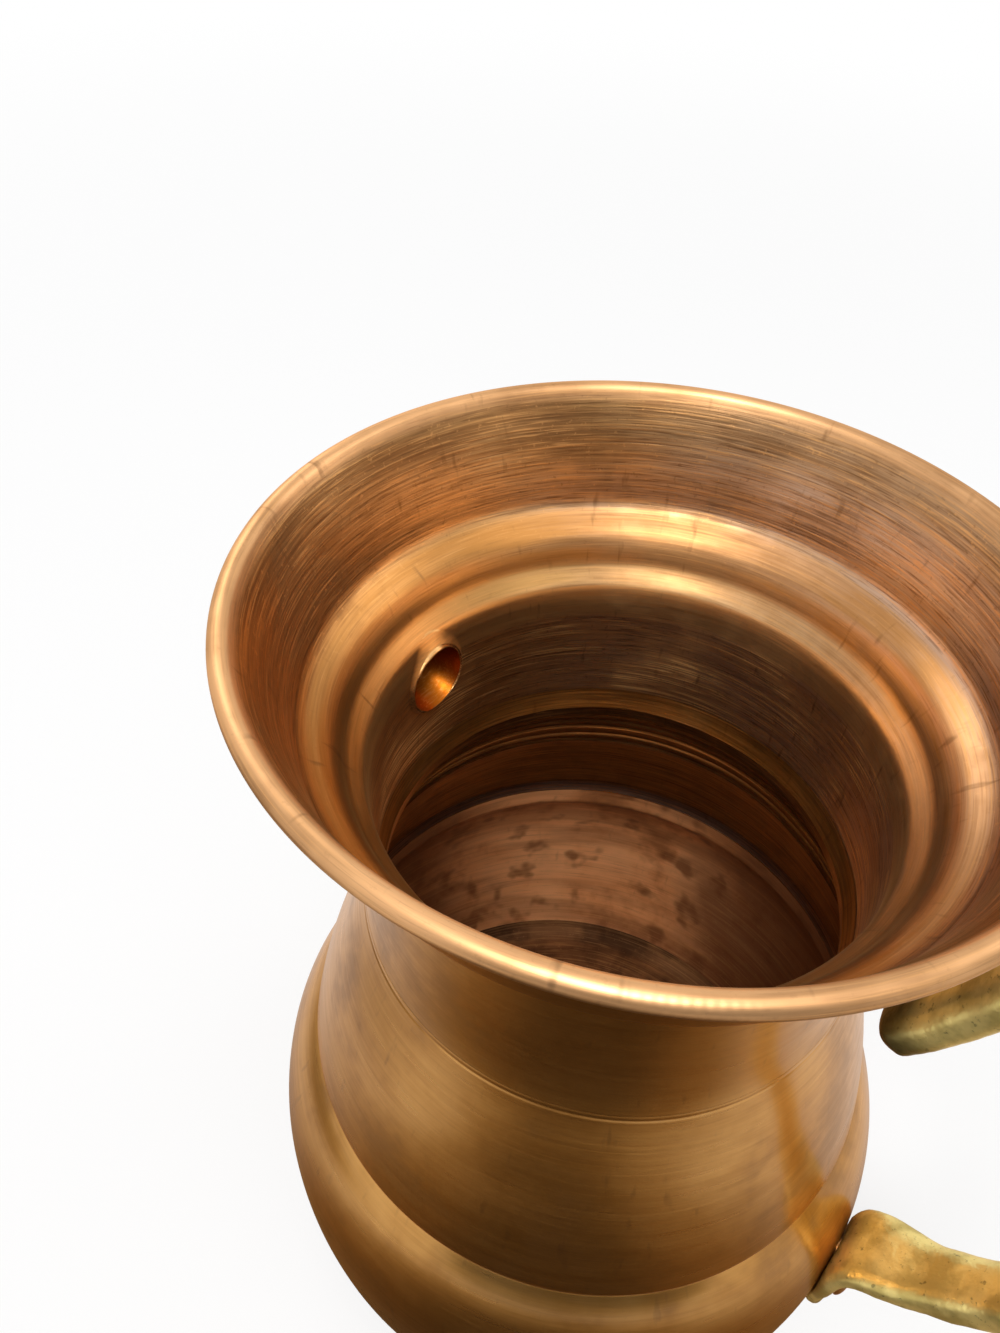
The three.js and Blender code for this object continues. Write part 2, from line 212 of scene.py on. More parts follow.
def ripple(angle: Points, waves: Waves) -> Points:
    """Adds up waves round the body: the number in a turn, the size and the phase of each."""
    return sum(size * np.cos(count * angle + phase) for count, size, phase in waves)


def placed(name: str, data: bpy.types.ID) -> bpy.types.Object:
    """Makes an object and links it to the scene.

    Args:
        name: Name of the object.
        data: Its mesh, lamp or camera.

    Returns:
        The new object.
    """
    made = bpy.data.objects.new(name, data)
    bpy.context.scene.collection.objects.link(made)
    return made


def middle_share(places: Points) -> Points:
    """Gives one at a half, falling softly to zero at nought and at one."""
    return np.sin(math.pi * np.clip(places, 0, 1)) ** 2


def make_object(name: str, corners: Points, faces: Sequence[Sequence[int]], sharp: float = 40.0) -> bpy.types.Object:
    """Makes a smooth-shaded object from corners in millimetres, with its faces outward.

    Args:
        name: Name of the piece.
        corners: Rows of x, y and z.
        faces: Corner numbers of each face.
        sharp: Angle in degrees above which an edge stays crisp.

    Returns:
        The new object, linked to the scene.
    """
    mesh = bpy.data.meshes.new(name)
    mesh.from_pydata((corners * MM).tolist(), [], [list(face) for face in faces])
    mesh.validate()
    solid = bmesh.new()
    solid.from_mesh(mesh)
    if solid.calc_volume(signed=True) < 0:
        mesh.flip_normals()
    solid.free()
    mesh.polygons.foreach_set("use_smooth", [True] * len(mesh.polygons))
    mesh.set_sharp_from_angle(angle=math.radians(sharp))
    return placed(name, mesh)


def grid_faces(rows: int, columns: int, close_rows: bool = False) -> list[tuple[int, ...]]:
    """Gives the four-sided faces of a stack of rings.

    Args:
        rows: Number of rings.
        columns: Number of corners in a ring.
        close_rows: Whether the last ring joins the first.

    Returns:
        Corner numbers of each face.
    """
    faces = []
    for row in range(rows if close_rows else rows - 1):
        above = (row + 1) % rows
        for column in range(columns):
            beside = (column + 1) % columns
            faces.append((row * columns + column, row * columns + beside,
                          above * columns + beside, above * columns + column))
    return faces


def turned(name: str, loop: Points, sides: int, wobble: Wobble | None = None) -> bpy.types.Object:
    """Turns a profile about the Z axis.

    Args:
        name: Name of the piece.
        loop: Rows of radius and height, anticlockwise. A loop that starts and ends on the axis is a full body,
            and any other is closed into a ring.
        sides: Number of sides round the axis.
        wobble: Gives a change of radius for angles, radii and heights.

    Returns:
        The new object.
    """
    capped = loop[0, 0] < 1e-6
    body = loop[1:-1] if capped else loop
    radius = np.repeat(body[:, :1], sides, axis=1)
    height = np.repeat(body[:, 1:], sides, axis=1)
    turn = np.broadcast_to(full_turn(sides), radius.shape)
    if wobble:
        radius = radius + wobble(turn, radius, height)
    corners = np.stack((radius * np.cos(turn), radius * np.sin(turn), height), axis=-1).reshape(-1, 3)
    faces = grid_faces(len(body), sides, close_rows=not capped)
    if capped:
        first, last = len(corners), len(corners) + 1
        poles = np.array([[0, 0, loop[0, 1]], [0, 0, loop[-1, 1]]])
        corners = np.vstack((corners, poles))
        top = (len(body) - 1) * sides
        for column in range(sides):
            beside = (column + 1) % sides
            faces.append((first, beside, column))
            faces.append((last, top + column, top + beside))
    return make_object(name, corners, faces)


def lined(piece: bpy.types.Object, first: int, last: int) -> bpy.types.Object:
    """Marks a run of faces as the piece's lining, which takes its second finish.

    Args:
        piece: The new piece.
        first: Number of the first face.
        last: Number after the last face.

    Returns:
        The same piece.
    """
    for number in range(first, last):
        piece.data.polygons[number].material_index = 1
    return piece


def coat(piece: bpy.types.Object, *finishes: bpy.types.Material) -> bpy.types.Object:
    """Gives a new piece its finish and, where it has one, its lining's finish.

    Args:
        piece: The new piece.
        finishes: One or two materials.

    Returns:
        The same piece.
    """
    for finish in finishes:
        piece.data.materials.append(finish)
    return piece


def dress(piece: bpy.types.Object, slot: str, *nodes: str) -> bpy.types.Object:
    """Gives a finished piece its place in the frame.

    Args:
        piece: The new piece.
        slot: The record's material slot; not used.
        nodes: Nodes of the frame that it stands for.

    Returns:
        The same piece.
    """
    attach(piece, BODY)
    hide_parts(*nodes)
    log.info("%s: %d faces", piece.name, len(piece.data.polygons))
    return piece


# Finishes

class Graph:
    """The node graph of one finish, with short ways to add its nodes."""

    def __init__(self, name: str) -> None:
        """Starts a plain material.

        Args:
            name: Name of the material.
        """
        self.material = bpy.data.materials.new(name)
        self.material.use_nodes = True
        self.tree = self.material.node_tree
        self.shader = self.tree.nodes["Principled BSDF"]

    def paint(self, **inputs: object) -> None:
        """Sets or links inputs of the shader, with _ for a space in a name."""
        for key, value in inputs.items():
            self.feed(self.shader.inputs[key.replace("_", " ")], value)

    def node(self, kind: str, settings: dict | None = None, **inputs: object) -> bpy.types.Node:
        """Adds a node.

        Args:
            kind: Blender's name for the node, without its ShaderNode prefix.
            settings: Values of the node itself.
            inputs: Values or sockets for its inputs, with _ for a space in a name.

        Returns:
            The node.
        """
        made = self.tree.nodes.new("ShaderNode" + kind)
        for key, value in (settings or {}).items():
            setattr(made, key, value)
        for key, value in inputs.items():
            self.feed(made.inputs[key.replace("_", " ")], value)
        return made

    def feed(self, socket: Socket, value: object) -> None:
        """Links a socket to an input, or sets its value.

        Args:
            socket: The input.
            value: A socket, a number, a vector or a colour.
        """
        if isinstance(value, bpy.types.NodeSocket):
            self.tree.links.new(value, socket)
        elif isinstance(value, tuple) and socket.type == "RGBA":
            socket.default_value = (*value, 1.0)
        else:
            socket.default_value = value

    def maths(self, operation: str, first: object, second: object = 0.0) -> Socket:
        """Adds a sum of one or two numbers.

        Args:
            operation: Blender's name for the sum.
            first: First number or socket.
            second: Second number or socket.

        Returns:
            The result.
        """
        made = self.node("Math", {"operation": operation})
        self.feed(made.inputs[0], first)
        self.feed(made.inputs[1], second)
        return made.outputs[0]

    def times(self, first: object, second: object) -> Socket:
        """Multiplies two numbers."""
        return self.maths("MULTIPLY", first, second)

    def plus(self, first: object, second: object) -> Socket:
        """Adds two numbers."""
        return self.maths("ADD", first, second)

    def vector(self, operation: str, first: Socket, second: Colour | None = None) -> bpy.types.Node:
        """Adds a sum of vectors.

        Args:
            operation: Blender's name for the sum.
            first: First vector.
            second: Second vector, the same everywhere.

        Returns:
            The node, whose outputs are a vector and a number.
        """
        made = self.node("VectorMath", {"operation": operation}, Vector=first)
        if second is not None:
            made.inputs[1].default_value = second
        return made

    def blend(self, share: object, first: object, second: object) -> Socket:
        """Mixes two colours.

        Args:
            share: Share of the second colour.
            first: First colour.
            second: Second colour.

        Returns:
            The mixed colour.
        """
        made = self.node("Mix", {"data_type": "RGBA"})
        for number, value in ((0, share), (6, first), (7, second)):
            self.feed(made.inputs[number], value)
        return made.outputs[2]

    def fade(self, value: Socket, low: float, high: float, to_low: float = 0.0, to_high: float = 1.0) -> Socket:
        """Maps a number softly from one range to another."""
        return self.node("MapRange", {"interpolation_type": "SMOOTHSTEP"}, Value=value, From_Min=low, From_Max=high,
                         To_Min=to_low, To_Max=to_high).outputs[0]

    def between(self, value: Socket, low: float, high: float, soft: float) -> Socket:
        """Gives one between two numbers, falling to zero over a soft edge."""
        return self.times(self.fade(value, low - soft, low + soft),
                          self.fade(value, high - soft, high + soft, 1.0, 0.0))

    def noise(self, vector: Socket, scale: float, detail: float, rough: float,
              fourth: Socket | None = None) -> Socket:
        """Adds soft noise, in four dimensions where a fourth is given.

        Args:
            vector: Its coordinates.
            scale: Its scale.
            detail: Number of its finer layers.
            rough: Strength of the finer layers.
            fourth: Fourth coordinate.

        Returns:
            The noise, a half on average.
        """
        made = self.node("TexNoise", {"noise_dimensions": "4D" if fourth else "3D"}, Vector=vector,
                         Scale=scale, Detail=detail, Roughness=rough)
        if fourth:
            self.feed(made.inputs["W"], fourth)
        return made.outputs[0]

    def bump(self, height: Socket, strength: float, distance: float, under: Socket | None = None) -> Socket:
        """Adds relief.

        Args:
            height: Height of the relief, as a share of the distance.
            strength: Strength of the relief.
            distance: Its full height, in metres.
            under: Normal of the relief below it.

        Returns:
            The changed normal.
        """
        made = self.node("Bump", Strength=strength, Distance=distance, Height=height)
        if under:
            self.feed(made.inputs["Normal"], under)
        return made.outputs[0]

    def place(self) -> Socket:
        """Gives the point on the object, in metres."""
        return self.node("TexCoord").outputs["Object"]

    def around(self, place: Socket) -> tuple[Socket, Socket, Socket]:
        """Splits a point into parts round the body's axis.

        Args:
            place: The point on the object.

        Returns:
            Its direction from the axis, of length one, its distance from the axis and its height.
        """
        parts = self.node("SeparateXYZ", Vector=place).outputs
        flat = self.node("CombineXYZ", X=parts[0], Y=parts[1]).outputs[0]
        return self.vector("NORMALIZE", flat).outputs[0], self.vector("LENGTH", flat).outputs["Value"], parts[2]

    def lines(self, place: Socket, round_scale: float, pitch: float, detail: float = 1.0,
              rough: float = 0.55) -> Socket:
        """Adds noise that runs long round the axis and short across it, or the other way with a high scale.

        Args:
            place: The point on the object.
            round_scale: Scale of the noise round the axis.
            pitch: Size of the noise across the turning lines, in metres.
            detail: Number of its finer layers.
            rough: Strength of the finer layers.

        Returns:
            The noise, a half on average.
        """
        way, radius, height = self.around(place)
        turn = self.node("SeparateXYZ", Vector=way).outputs
        vector = self.node("CombineXYZ", X=self.times(turn[0], round_scale), Y=self.times(turn[1], round_scale),
                           Z=self.maths("DIVIDE", height, pitch)).outputs[0]
        return self.noise(vector, 1.0, detail, rough, self.maths("DIVIDE", radius, pitch))

    def ribs(self, place: Socket, count: float) -> Socket:
        """Adds fine even ribs across the turning lines, a number of them in a turn."""
        parts = self.node("SeparateXYZ", Vector=place).outputs
        return self.maths("SINE", self.times(self.maths("ARCTAN2", parts[1], parts[0]), count))

    def facing(self, place: Socket, azimuth: float) -> Socket:
        """Gives one on the side of the body at an azimuth in degrees, and minus one opposite."""
        way = (math.cos(math.radians(azimuth)), math.sin(math.radians(azimuth)), 0.0)
        return self.vector("DOT_PRODUCT", self.around(place)[0], way).outputs["Value"]


GLEAM: Colour = (1.0, 0.82, 0.66)
Layer = tuple[Socket, Colour]


@dataclass(frozen=True)
class TurnedGround:
    """Numbers over a spun sheet from which its colour and its relief are made."""

    place: Socket
    moved: Socket
    height: Socket
    fine: Socket
    lines: Socket
    bands: Socket
    scratch: Socket
    bloom: Socket
    stain: Socket
    tone: Socket


@dataclass(frozen=True)
class SpunCopper:
    """Copper sheet turned on a lathe, with fine lines round it and a brown bloom.

    Attributes:
        name: Name of the material.
        bright: Colour of clean metal.
        brown: Colour of the bloom.
        stain: Colour of stains, also of the darker band below the rim and of the painted shade outside the lit patch.
        sheen_tint: Colour of a painted pale sheen on one side, which stands for a whitish reflection.
        polish: Colour of fresh lines.
        score: Colour of the deep lines in the scored zone.
        sheen_at: Azimuth of the side with the painted sheen, in degrees.
        sheen_low: Heights over which the painted sheen spreads to the sides, in metres, as all heights here.
        sheen_high: Heights over which the painted sheen ends below the rim.
        polish_and_highlight: Polished zones, whose colours are partly painted highlight: lowest and highest height,
            colour and added roughness of each.
        rim_darkening: Heights over which the lining darkens towards the rim.
        lit_patch_at: Azimuth of a lit patch; elsewhere the lining is darkened with painted shade.
        scored: Lowest and highest height of the scored zone.
        ribbed: Lowest and highest height of the fine cross ribs.
        ribbed_at: Azimuth of the ribs.
        rib_count: Number of ribs that a full turn would have.
        stained: Share of stain in the clouds.
        smears: Share of stain in smears across the lines.
        tide: Share of stain in tide rings.
        spots: Share of stain in spots.
        mark_pitch: Size of the tide rings and the smears, in metres.
        roughness: Roughness of clean metal.
        line_pitch: Spacing of the turning lines, in metres.
        line_depth: Strength of their relief.
        streaks: Strength of the lines in the colour.
        scratches: Strength of scratches and flecks.
        scratch_pitch: Width of the scratches, in metres.
        anisotropy: How far gleams are drawn out across the lines.
        metal: Share of bare metal, against a dull skin.
        lacquer: Weight of the clear coat.
        lacquer_roughness: Roughness of the clear coat.
        seed: Shift of the clouds.
    """

    name: str
    bright: Colour = (0.58, 0.32, 0.125)
    brown: Colour = (0.43, 0.21, 0.07)
    stain: Colour = (0.16, 0.075, 0.03)
    sheen_tint: Colour = (0.60, 0.47, 0.39)
    polish: Colour = (0.78, 0.40, 0.14)
    score: Colour = (0.98, 0.62, 0.26)
    sheen_at: float | None = None
    sheen_low: tuple[float, float] = (0.167, 0.157)
    sheen_high: tuple[float, float] = (0.172, 0.163)
    polish_and_highlight: tuple[tuple[float, float, Colour, float], ...] = ()
    rim_darkening: tuple[float, float] | None = None
    lit_patch_at: float | None = None
    scored: tuple[float, float] | None = None
    ribbed: tuple[float, float] | None = None
    ribbed_at: float = -57.0
    rib_count: float = 320.0
    stained: float = 0.45
    smears: float = 0.3
    tide: float = 0.0
    spots: float = 0.0
    mark_pitch: float = 0.009
    roughness: float = 0.33
    line_pitch: float = 0.0009
    line_depth: float = 0.6
    streaks: float = 1.0
    scratches: float = 0.35
    scratch_pitch: float = 0.00034
    anisotropy: float = 0.6
    metal: float = 1.0
    lacquer: float = 0.0
    lacquer_roughness: float = 0.16
    seed: float = 0.0

    def make(self) -> bpy.types.Material:
        """Builds the material.

        Returns:
            The new material.
        """
        graph = Graph(self.name)
        ground = self.ground(graph)
        zones, calm, dulled = self.polish_and_highlight_layers(graph, ground)
        layers = (*self.sheen_and_rim_layers(graph, ground), *self.staining(graph, ground), *self.turning(graph, ground), *zones,
                  *self.wear(graph, ground, calm))
        colour = graph.blend(graph.fade(ground.tone, 0.40, 0.60), self.bright, self.brown)
        for share, tint in layers:
            colour = graph.blend(share, colour, tint)
        dull = graph.plus(graph.times(ground.stain, 0.2), graph.times(ground.lines, 0.14))
        graph.paint(Base_Color=colour, Metallic=self.metal, Specular_Tint=GLEAM,
                    Roughness=graph.plus(graph.plus(dull, dulled), self.roughness - 0.07),
                    Coat_Weight=self.lacquer, Coat_Roughness=self.lacquer_roughness,
                    Anisotropic=self.anisotropy, Anisotropic_Rotation=0.25,
                    Tangent=graph.node("Tangent", {"direction_type": "RADIAL", "axis": "Z"}).outputs[0],
                    Normal=self.relief(graph, ground, calm))
        return graph.material

    def ground(self, graph: Graph) -> TurnedGround:
        """Adds the lines, the scratches and the clouds.

        Args:
            graph: The finish's graph.

        Returns:
            Their sockets.
        """
        place = graph.place()
        moved = graph.vector("ADD", place, (self.seed, 0.4 * self.seed, 0.7 * self.seed)).outputs[0]
        lines = graph.lines(place, 2.6, self.line_pitch)
        bands = graph.lines(place, 1.4, 4.5 * self.line_pitch, 3.0)
        bloom = graph.noise(moved, 34.0, 4.0, 0.6)
        grain = graph.noise(moved, 420.0, 2.0, 0.5)
        share = 0.25 + 0.33 * self.streaks
        turned_tone = graph.plus(graph.times(bands, 0.6), graph.times(lines, 0.4))
        return TurnedGround(
            place=place, moved=moved, height=graph.node("SeparateXYZ", Vector=place).outputs[2],
            fine=graph.lines(place, 2.2, 0.42 * self.line_pitch), lines=lines, bands=bands,
            scratch=graph.lines(place, 7.0, self.scratch_pitch, 2.0), bloom=bloom,
            stain=graph.fade(graph.plus(bloom, graph.times(grain, 0.12)), 0.56, 0.74, 0.0, self.stained),
            tone=graph.plus(graph.times(bloom, 1 - share), graph.times(turned_tone, share)))

    def sheen_and_rim_layers(self, graph: Graph, ground: TurnedGround) -> list[Layer]:
        """Gives the layers of the painted sheen on one side and of the darker band below the rim.

        Args:
            graph: The finish's graph.
            ground: Its lines and clouds.

        Returns:
            Share and colour of each layer.
        """
        layers = []
        # Painted sheen: a pale greyish tint on one side of the lining, weaker up at the rim, standing for a whitish
        # reflection.
        if self.sheen_at is not None:
            facing = graph.facing(ground.place, self.sheen_at)
            low = graph.times(graph.fade(ground.height, *self.sheen_low, 0.0, 0.5), graph.fade(facing, -0.4, 0.3))
            side = graph.maths("MAXIMUM", graph.fade(facing, 0.0, 0.9, 0.0, 0.85), low)
            side = graph.times(side, graph.fade(ground.height, *self.sheen_high, 0.3, 1.0))
            layers.append((graph.times(side, graph.fade(ground.tone, 0.60, 0.42, 0.35, 1.0)), self.sheen_tint))
        if self.rim_darkening is not None:
            shade = graph.fade(ground.height, *self.rim_darkening, 0.0, 0.5)
            layers.append((graph.times(shade, graph.fade(ground.tone, 0.36, 0.56, 0.6, 1.0)), self.stain))
        return layers

    def staining(self, graph: Graph, ground: TurnedGround) -> list[Layer]:
        """Gives the layers of brown clouds, tide rings, painted shade outside a lit patch, and spots.

        Args:
            graph: The finish's graph.
            ground: Its lines and clouds.

        Returns:
            Share and colour of each layer.
        """
        shares = [ground.stain]
        if self.tide > 0:
            rings = graph.lines(ground.place, 1.1, self.mark_pitch, 2.0)
            shares.append(graph.fade(rings, 0.46, 0.62, 0.0, self.tide))
        # Painted shade: the lining is darkened everywhere but on one side, which is left as a lit patch.
        if self.lit_patch_at is not None:
            clean = graph.plus(graph.facing(ground.place, self.lit_patch_at), graph.times(ground.bloom, 0.5))
            shares.append(graph.fade(clean, 1.22, 0.98, 0.0, 0.84))
        if self.spots > 0:
            shares.append(graph.fade(graph.noise(ground.moved, 120.0, 2.0, 0.5), 0.54, 0.70, 0.0, self.spots))
        return [(share, self.stain) for share in shares]

    def turning(self, graph: Graph, ground: TurnedGround) -> list[Layer]:
        """Gives the layers of dark and fresh turning lines, and of the scored zone.

        Args:
            graph: The finish's graph.
            ground: Its lines and clouds.

        Returns:
            Share and colour of each layer.
        """
        layers = [(graph.fade(ground.lines, 0.56, 0.74, 0.0, 0.35 * self.streaks), self.stain),
                  (graph.fade(ground.fine, 0.50, 0.36, 0.0, 0.40 * self.streaks), self.stain),
                  (graph.fade(ground.fine, 0.52, 0.68, 0.0, 0.45 * self.streaks), self.polish)]
        if self.scored is not None:
            zone = graph.between(ground.height, *self.scored, 0.0015)
            broken = graph.fade(graph.noise(ground.moved, 70.0, 2.0, 0.5), 0.40, 0.56, 0.1, 1.0)
            cut = graph.times(broken, graph.fade(ground.fine, 0.52, 0.60))
            layers += [(graph.times(zone, 0.3), self.polish), (graph.times(zone, cut), self.score)]
        return layers

    def polish_and_highlight_layers(self, graph: Graph, ground: TurnedGround) -> tuple[list[Layer], Socket | float, Socket | float]:
        """Gives the layers of the polish zones, which are partly painted highlight.

        Args:
            graph: The finish's graph.
            ground: Its lines and clouds.

        Returns:
            Share and colour of each layer, the share of wear that the zones leave, and the roughness they add.
        """
        layers = []
        calm: Socket | float = 1.0
        dulled: Socket | float = 0.0
        # The polish zones' colours are partly painted highlight: lighter and darker bands across the steps and the
        # bead.
        for low, high, metal, dull in self.polish_and_highlight:
            zone = graph.between(ground.height, low, high, 0.0012)
            layers.append((graph.times(zone, graph.fade(ground.tone, 0.62, 0.42, 0.35, 0.9)), metal))
            calm = graph.times(calm, graph.maths("SUBTRACT", 1.0, graph.times(zone, 0.7)))
            dulled = graph.plus(dulled, graph.times(zone, dull))
        return layers, calm, dulled

    def wear(self, graph: Graph, ground: TurnedGround, calm: Socket | float) -> list[Layer]:
        """Gives the layers of scratches, flecks and smears.

        Args:
            graph: The finish's graph.
            ground: Its lines and clouds.
            calm: Share of wear that the polished zones leave.

        Returns:
            Share and colour of each layer.
        """
        flecks = graph.noise(ground.moved, 1000.0, 2.0, 0.6)
        marks = ((ground.scratch, 0.54, 0.70, 0.55, self.polish), (ground.scratch, 0.46, 0.32, 0.6, self.stain),
                 (flecks, 0.62, 0.74, 0.35, self.polish), (flecks, 0.38, 0.26, 0.35, self.stain))
        layers = [(graph.times(graph.fade(mark, low, high, 0.0, depth * self.scratches), calm), tint)
                  for mark, low, high, depth, tint in marks]
        smears = graph.lines(ground.place, 24.0, self.mark_pitch, 2.0, 0.6)
        return [*layers, (graph.fade(smears, 0.62, 0.76, 0.0, self.smears), self.stain)]

    def relief(self, graph: Graph, ground: TurnedGround, calm: Socket | float) -> Socket:
        """Adds the relief of the lines, the scratches and the ribs.

        Args:
            graph: The finish's graph.
            ground: Its lines and clouds.
            calm: Share of wear that the polished zones leave.

        Returns:
            The changed normal.
        """
        relief = None
        for height, strength, depth in ((graph.times(ground.fine, calm), self.line_depth, 0.00004),
                                        (graph.times(ground.lines, calm), self.line_depth, 0.00008),
                                        (ground.bands, self.line_depth, 0.00012),
                                        (graph.times(ground.scratch, calm), 0.5 * self.scratches, 0.00005)):
            relief = graph.bump(height, strength, depth, relief)
        if self.ribbed is not None:
            ribs = graph.ribs(ground.place, self.rib_count)
            ribs = graph.times(ribs, graph.between(ground.height, *self.ribbed, 0.0006))
            ribs = graph.times(ribs, graph.fade(graph.facing(ground.place, self.ribbed_at), 0.985, 0.998))
            relief = graph.bump(ribs, 0.2, 0.00003, relief)
        return relief


def outside_copper(name: str, stained: float, roughness: float, seed: float) -> SpunCopper:
    """Gives the smooth outside of a sheet piece, under a thin clear coat."""
    return SpunCopper(name, bright=(0.60, 0.305, 0.08), brown=(0.46, 0.21, 0.042), line_depth=0.2, streaks=0.1,
                      scratches=0.15, stained=stained, lacquer=0.35, roughness=roughness, anisotropy=0.2, seed=seed)


@dataclass(frozen=True)
class CastBrass:
    """Sand-cast brass: pale on the high places, dark olive in the low ones.

    Attributes:
        name: Name of the material.
        bright: Colour of the high places.
        olive: Colour of the low places.
        pits_and_shade: Colour of the pits and of the painted shade at the tip.
        roughness: Roughness of clean metal.
        metal: Share of bare metal, against a dull skin.
        shaded_end: Point round which the casting is darkened as painted shade, in metres.
        shade_reach: Distances from it over which the painted shade ends, in metres.
    """

    name: str
    bright: Colour = (0.92, 0.75, 0.28)
    olive: Colour = (0.56, 0.44, 0.14)
    pits_and_shade: Colour = (0.06, 0.048, 0.016)
    roughness: float = 0.33
    metal: float = 0.72
    shaded_end: tuple[float, float, float] | None = None
    shade_reach: tuple[float, float] = (0.0090, 0.0160)

    def make(self) -> bpy.types.Material:
        """Builds the material.

        Returns:
            The new material.
        """
        graph = Graph(self.name)
        place = graph.place()
        cloud = graph.noise(place, 130.0, 4.0, 0.55)
        grain = graph.noise(place, 900.0, 3.0, 0.6)
        colour = graph.blend(graph.fade(cloud, 0.38, 0.62), self.bright, self.olive)
        colour = graph.blend(graph.fade(grain, 0.60, 0.74, 0.0, 0.6), colour, self.pits_and_shade)
        # Painted shade: the casting darkens round its tip, which sits under the rim.
        if self.shaded_end is not None:
            away = graph.vector("DISTANCE", place, self.shaded_end).outputs["Value"]
            colour = graph.blend(graph.fade(away, *self.shade_reach, 0.97, 0.0), colour, self.pits_and_shade)
        graph.paint(Base_Color=colour, Metallic=self.metal, Specular_Tint=GLEAM,
                    Roughness=graph.plus(graph.times(cloud, 0.2), self.roughness - 0.08),
                    Normal=graph.bump(cloud, 0.5, 0.0008, graph.bump(grain, 0.4, 0.0002)))
        return graph.material


# The body

@dataclass(frozen=True)
class BodySizes:
    """Sizes that the sheet pieces share."""

    sheet: float = 0.8
    gap: float = 0.3
    base_radius: float = 54.0
    base_edge: float = 3.6
    round_centre: float = 46.0
    belly_radius: float = 66.5
    belly_height: float = 34.0
    seam_radius: float = 58.2
    seam_lap: float = 6.0
    seam_ease: float = 0.15
    shoulder_height: float = 47.1
    shoulder_swell: float = 3.6
    waist_radius: float = 44.4
    waist_lap: float = 1.5
    waist_slit: float = 0.06
    waist_fillet: tuple[float, float] = (1.5, 6.9)
    neck_height: float = 30.3
    neck_taper: float = 0.7
    low_step: tuple[float, float] = (3.4, 6.3)
    high_step: tuple[float, float] = (6.7, 8.2)
    funnel_height: float = 20.87
    funnel_hollow: float = 0.9
    mouth_radius: float = 65.0
    bead_radius: float = 1.7
    bead_start: float = 157.0
    bead_end: float = -102.0
    sides: int = 240

    def oval_angle(self, radius: float) -> float:
        """Gives the angle in degrees at which the belly's upper half has a radius."""
        return math.degrees(math.acos((radius - self.round_centre) / (self.belly_radius - self.round_centre)))

    def oval_height(self, radius: float) -> float:
        """Gives the height at which the belly's upper half has a radius."""
        return self.belly_height * (1 + math.sin(math.radians(self.oval_angle(radius))))

    def belly_at(self, height: float) -> float:
        """Gives the belly's outside radius.

        Args:
            height: Height above the base.

        Returns:
            The radius there.
        """
        rise = (height - self.belly_height) / self.belly_height
        centre = self.round_centre if rise > 0 else self.base_radius
        return centre + (self.belly_radius - centre) * math.sqrt(max(0.0, 1 - rise ** 2))

    def fillet(self, height: Points) -> Points:
        """Gives the soft turn between shoulder and neck, as a change of radius."""
        size, reach = self.waist_fillet
        return size * np.exp(-np.abs(height - self.waist_height) / reach)

    @property
    def seam_height(self) -> float:
        """Height of the shoulder's lower edge."""
        return self.oval_height(self.seam_radius - self.sheet) + self.gap

    @property
    def waist_height(self) -> float:
        """Height of the narrowest place."""
        return self.seam_height + self.shoulder_height

    @property
    def neck_foot(self) -> tuple[float, float]:
        """Foot of the neck, inside."""
        return self.waist_radius - self.sheet, self.waist_height + self.gap

    @property
    def neck_top(self) -> tuple[float, float]:
        """Top of the neck, inside."""
        return self.neck_foot[0] + self.neck_taper, self.neck_foot[1] + self.neck_height

    @property
    def low_top(self) -> tuple[float, float]:
        """Outer edge of the low step."""
        return self.neck_top[0] + self.low_step[0], self.neck_top[1] + self.low_step[1]

    @property
    def high_top(self) -> tuple[float, float]:
        """Outer edge of the high step, where the funnel starts."""
        return self.low_top[0] + self.high_step[0], self.low_top[1] + self.high_step[1]

    @property
    def bead_centre(self) -> tuple[float, float]:
        """Middle of the rolled rim."""
        return self.mouth_radius - self.bead_radius, self.high_top[1] + self.funnel_height

    @property
    def funnel_top(self) -> tuple[float, float]:
        """Place where the funnel runs into the rolled rim."""
        first = arc(self.bead_centre, self.bead_radius, self.bead_radius, self.bead_start, self.bead_end, 1)[0]
        return float(first[0]), float(first[1])


SIZES = BodySizes()


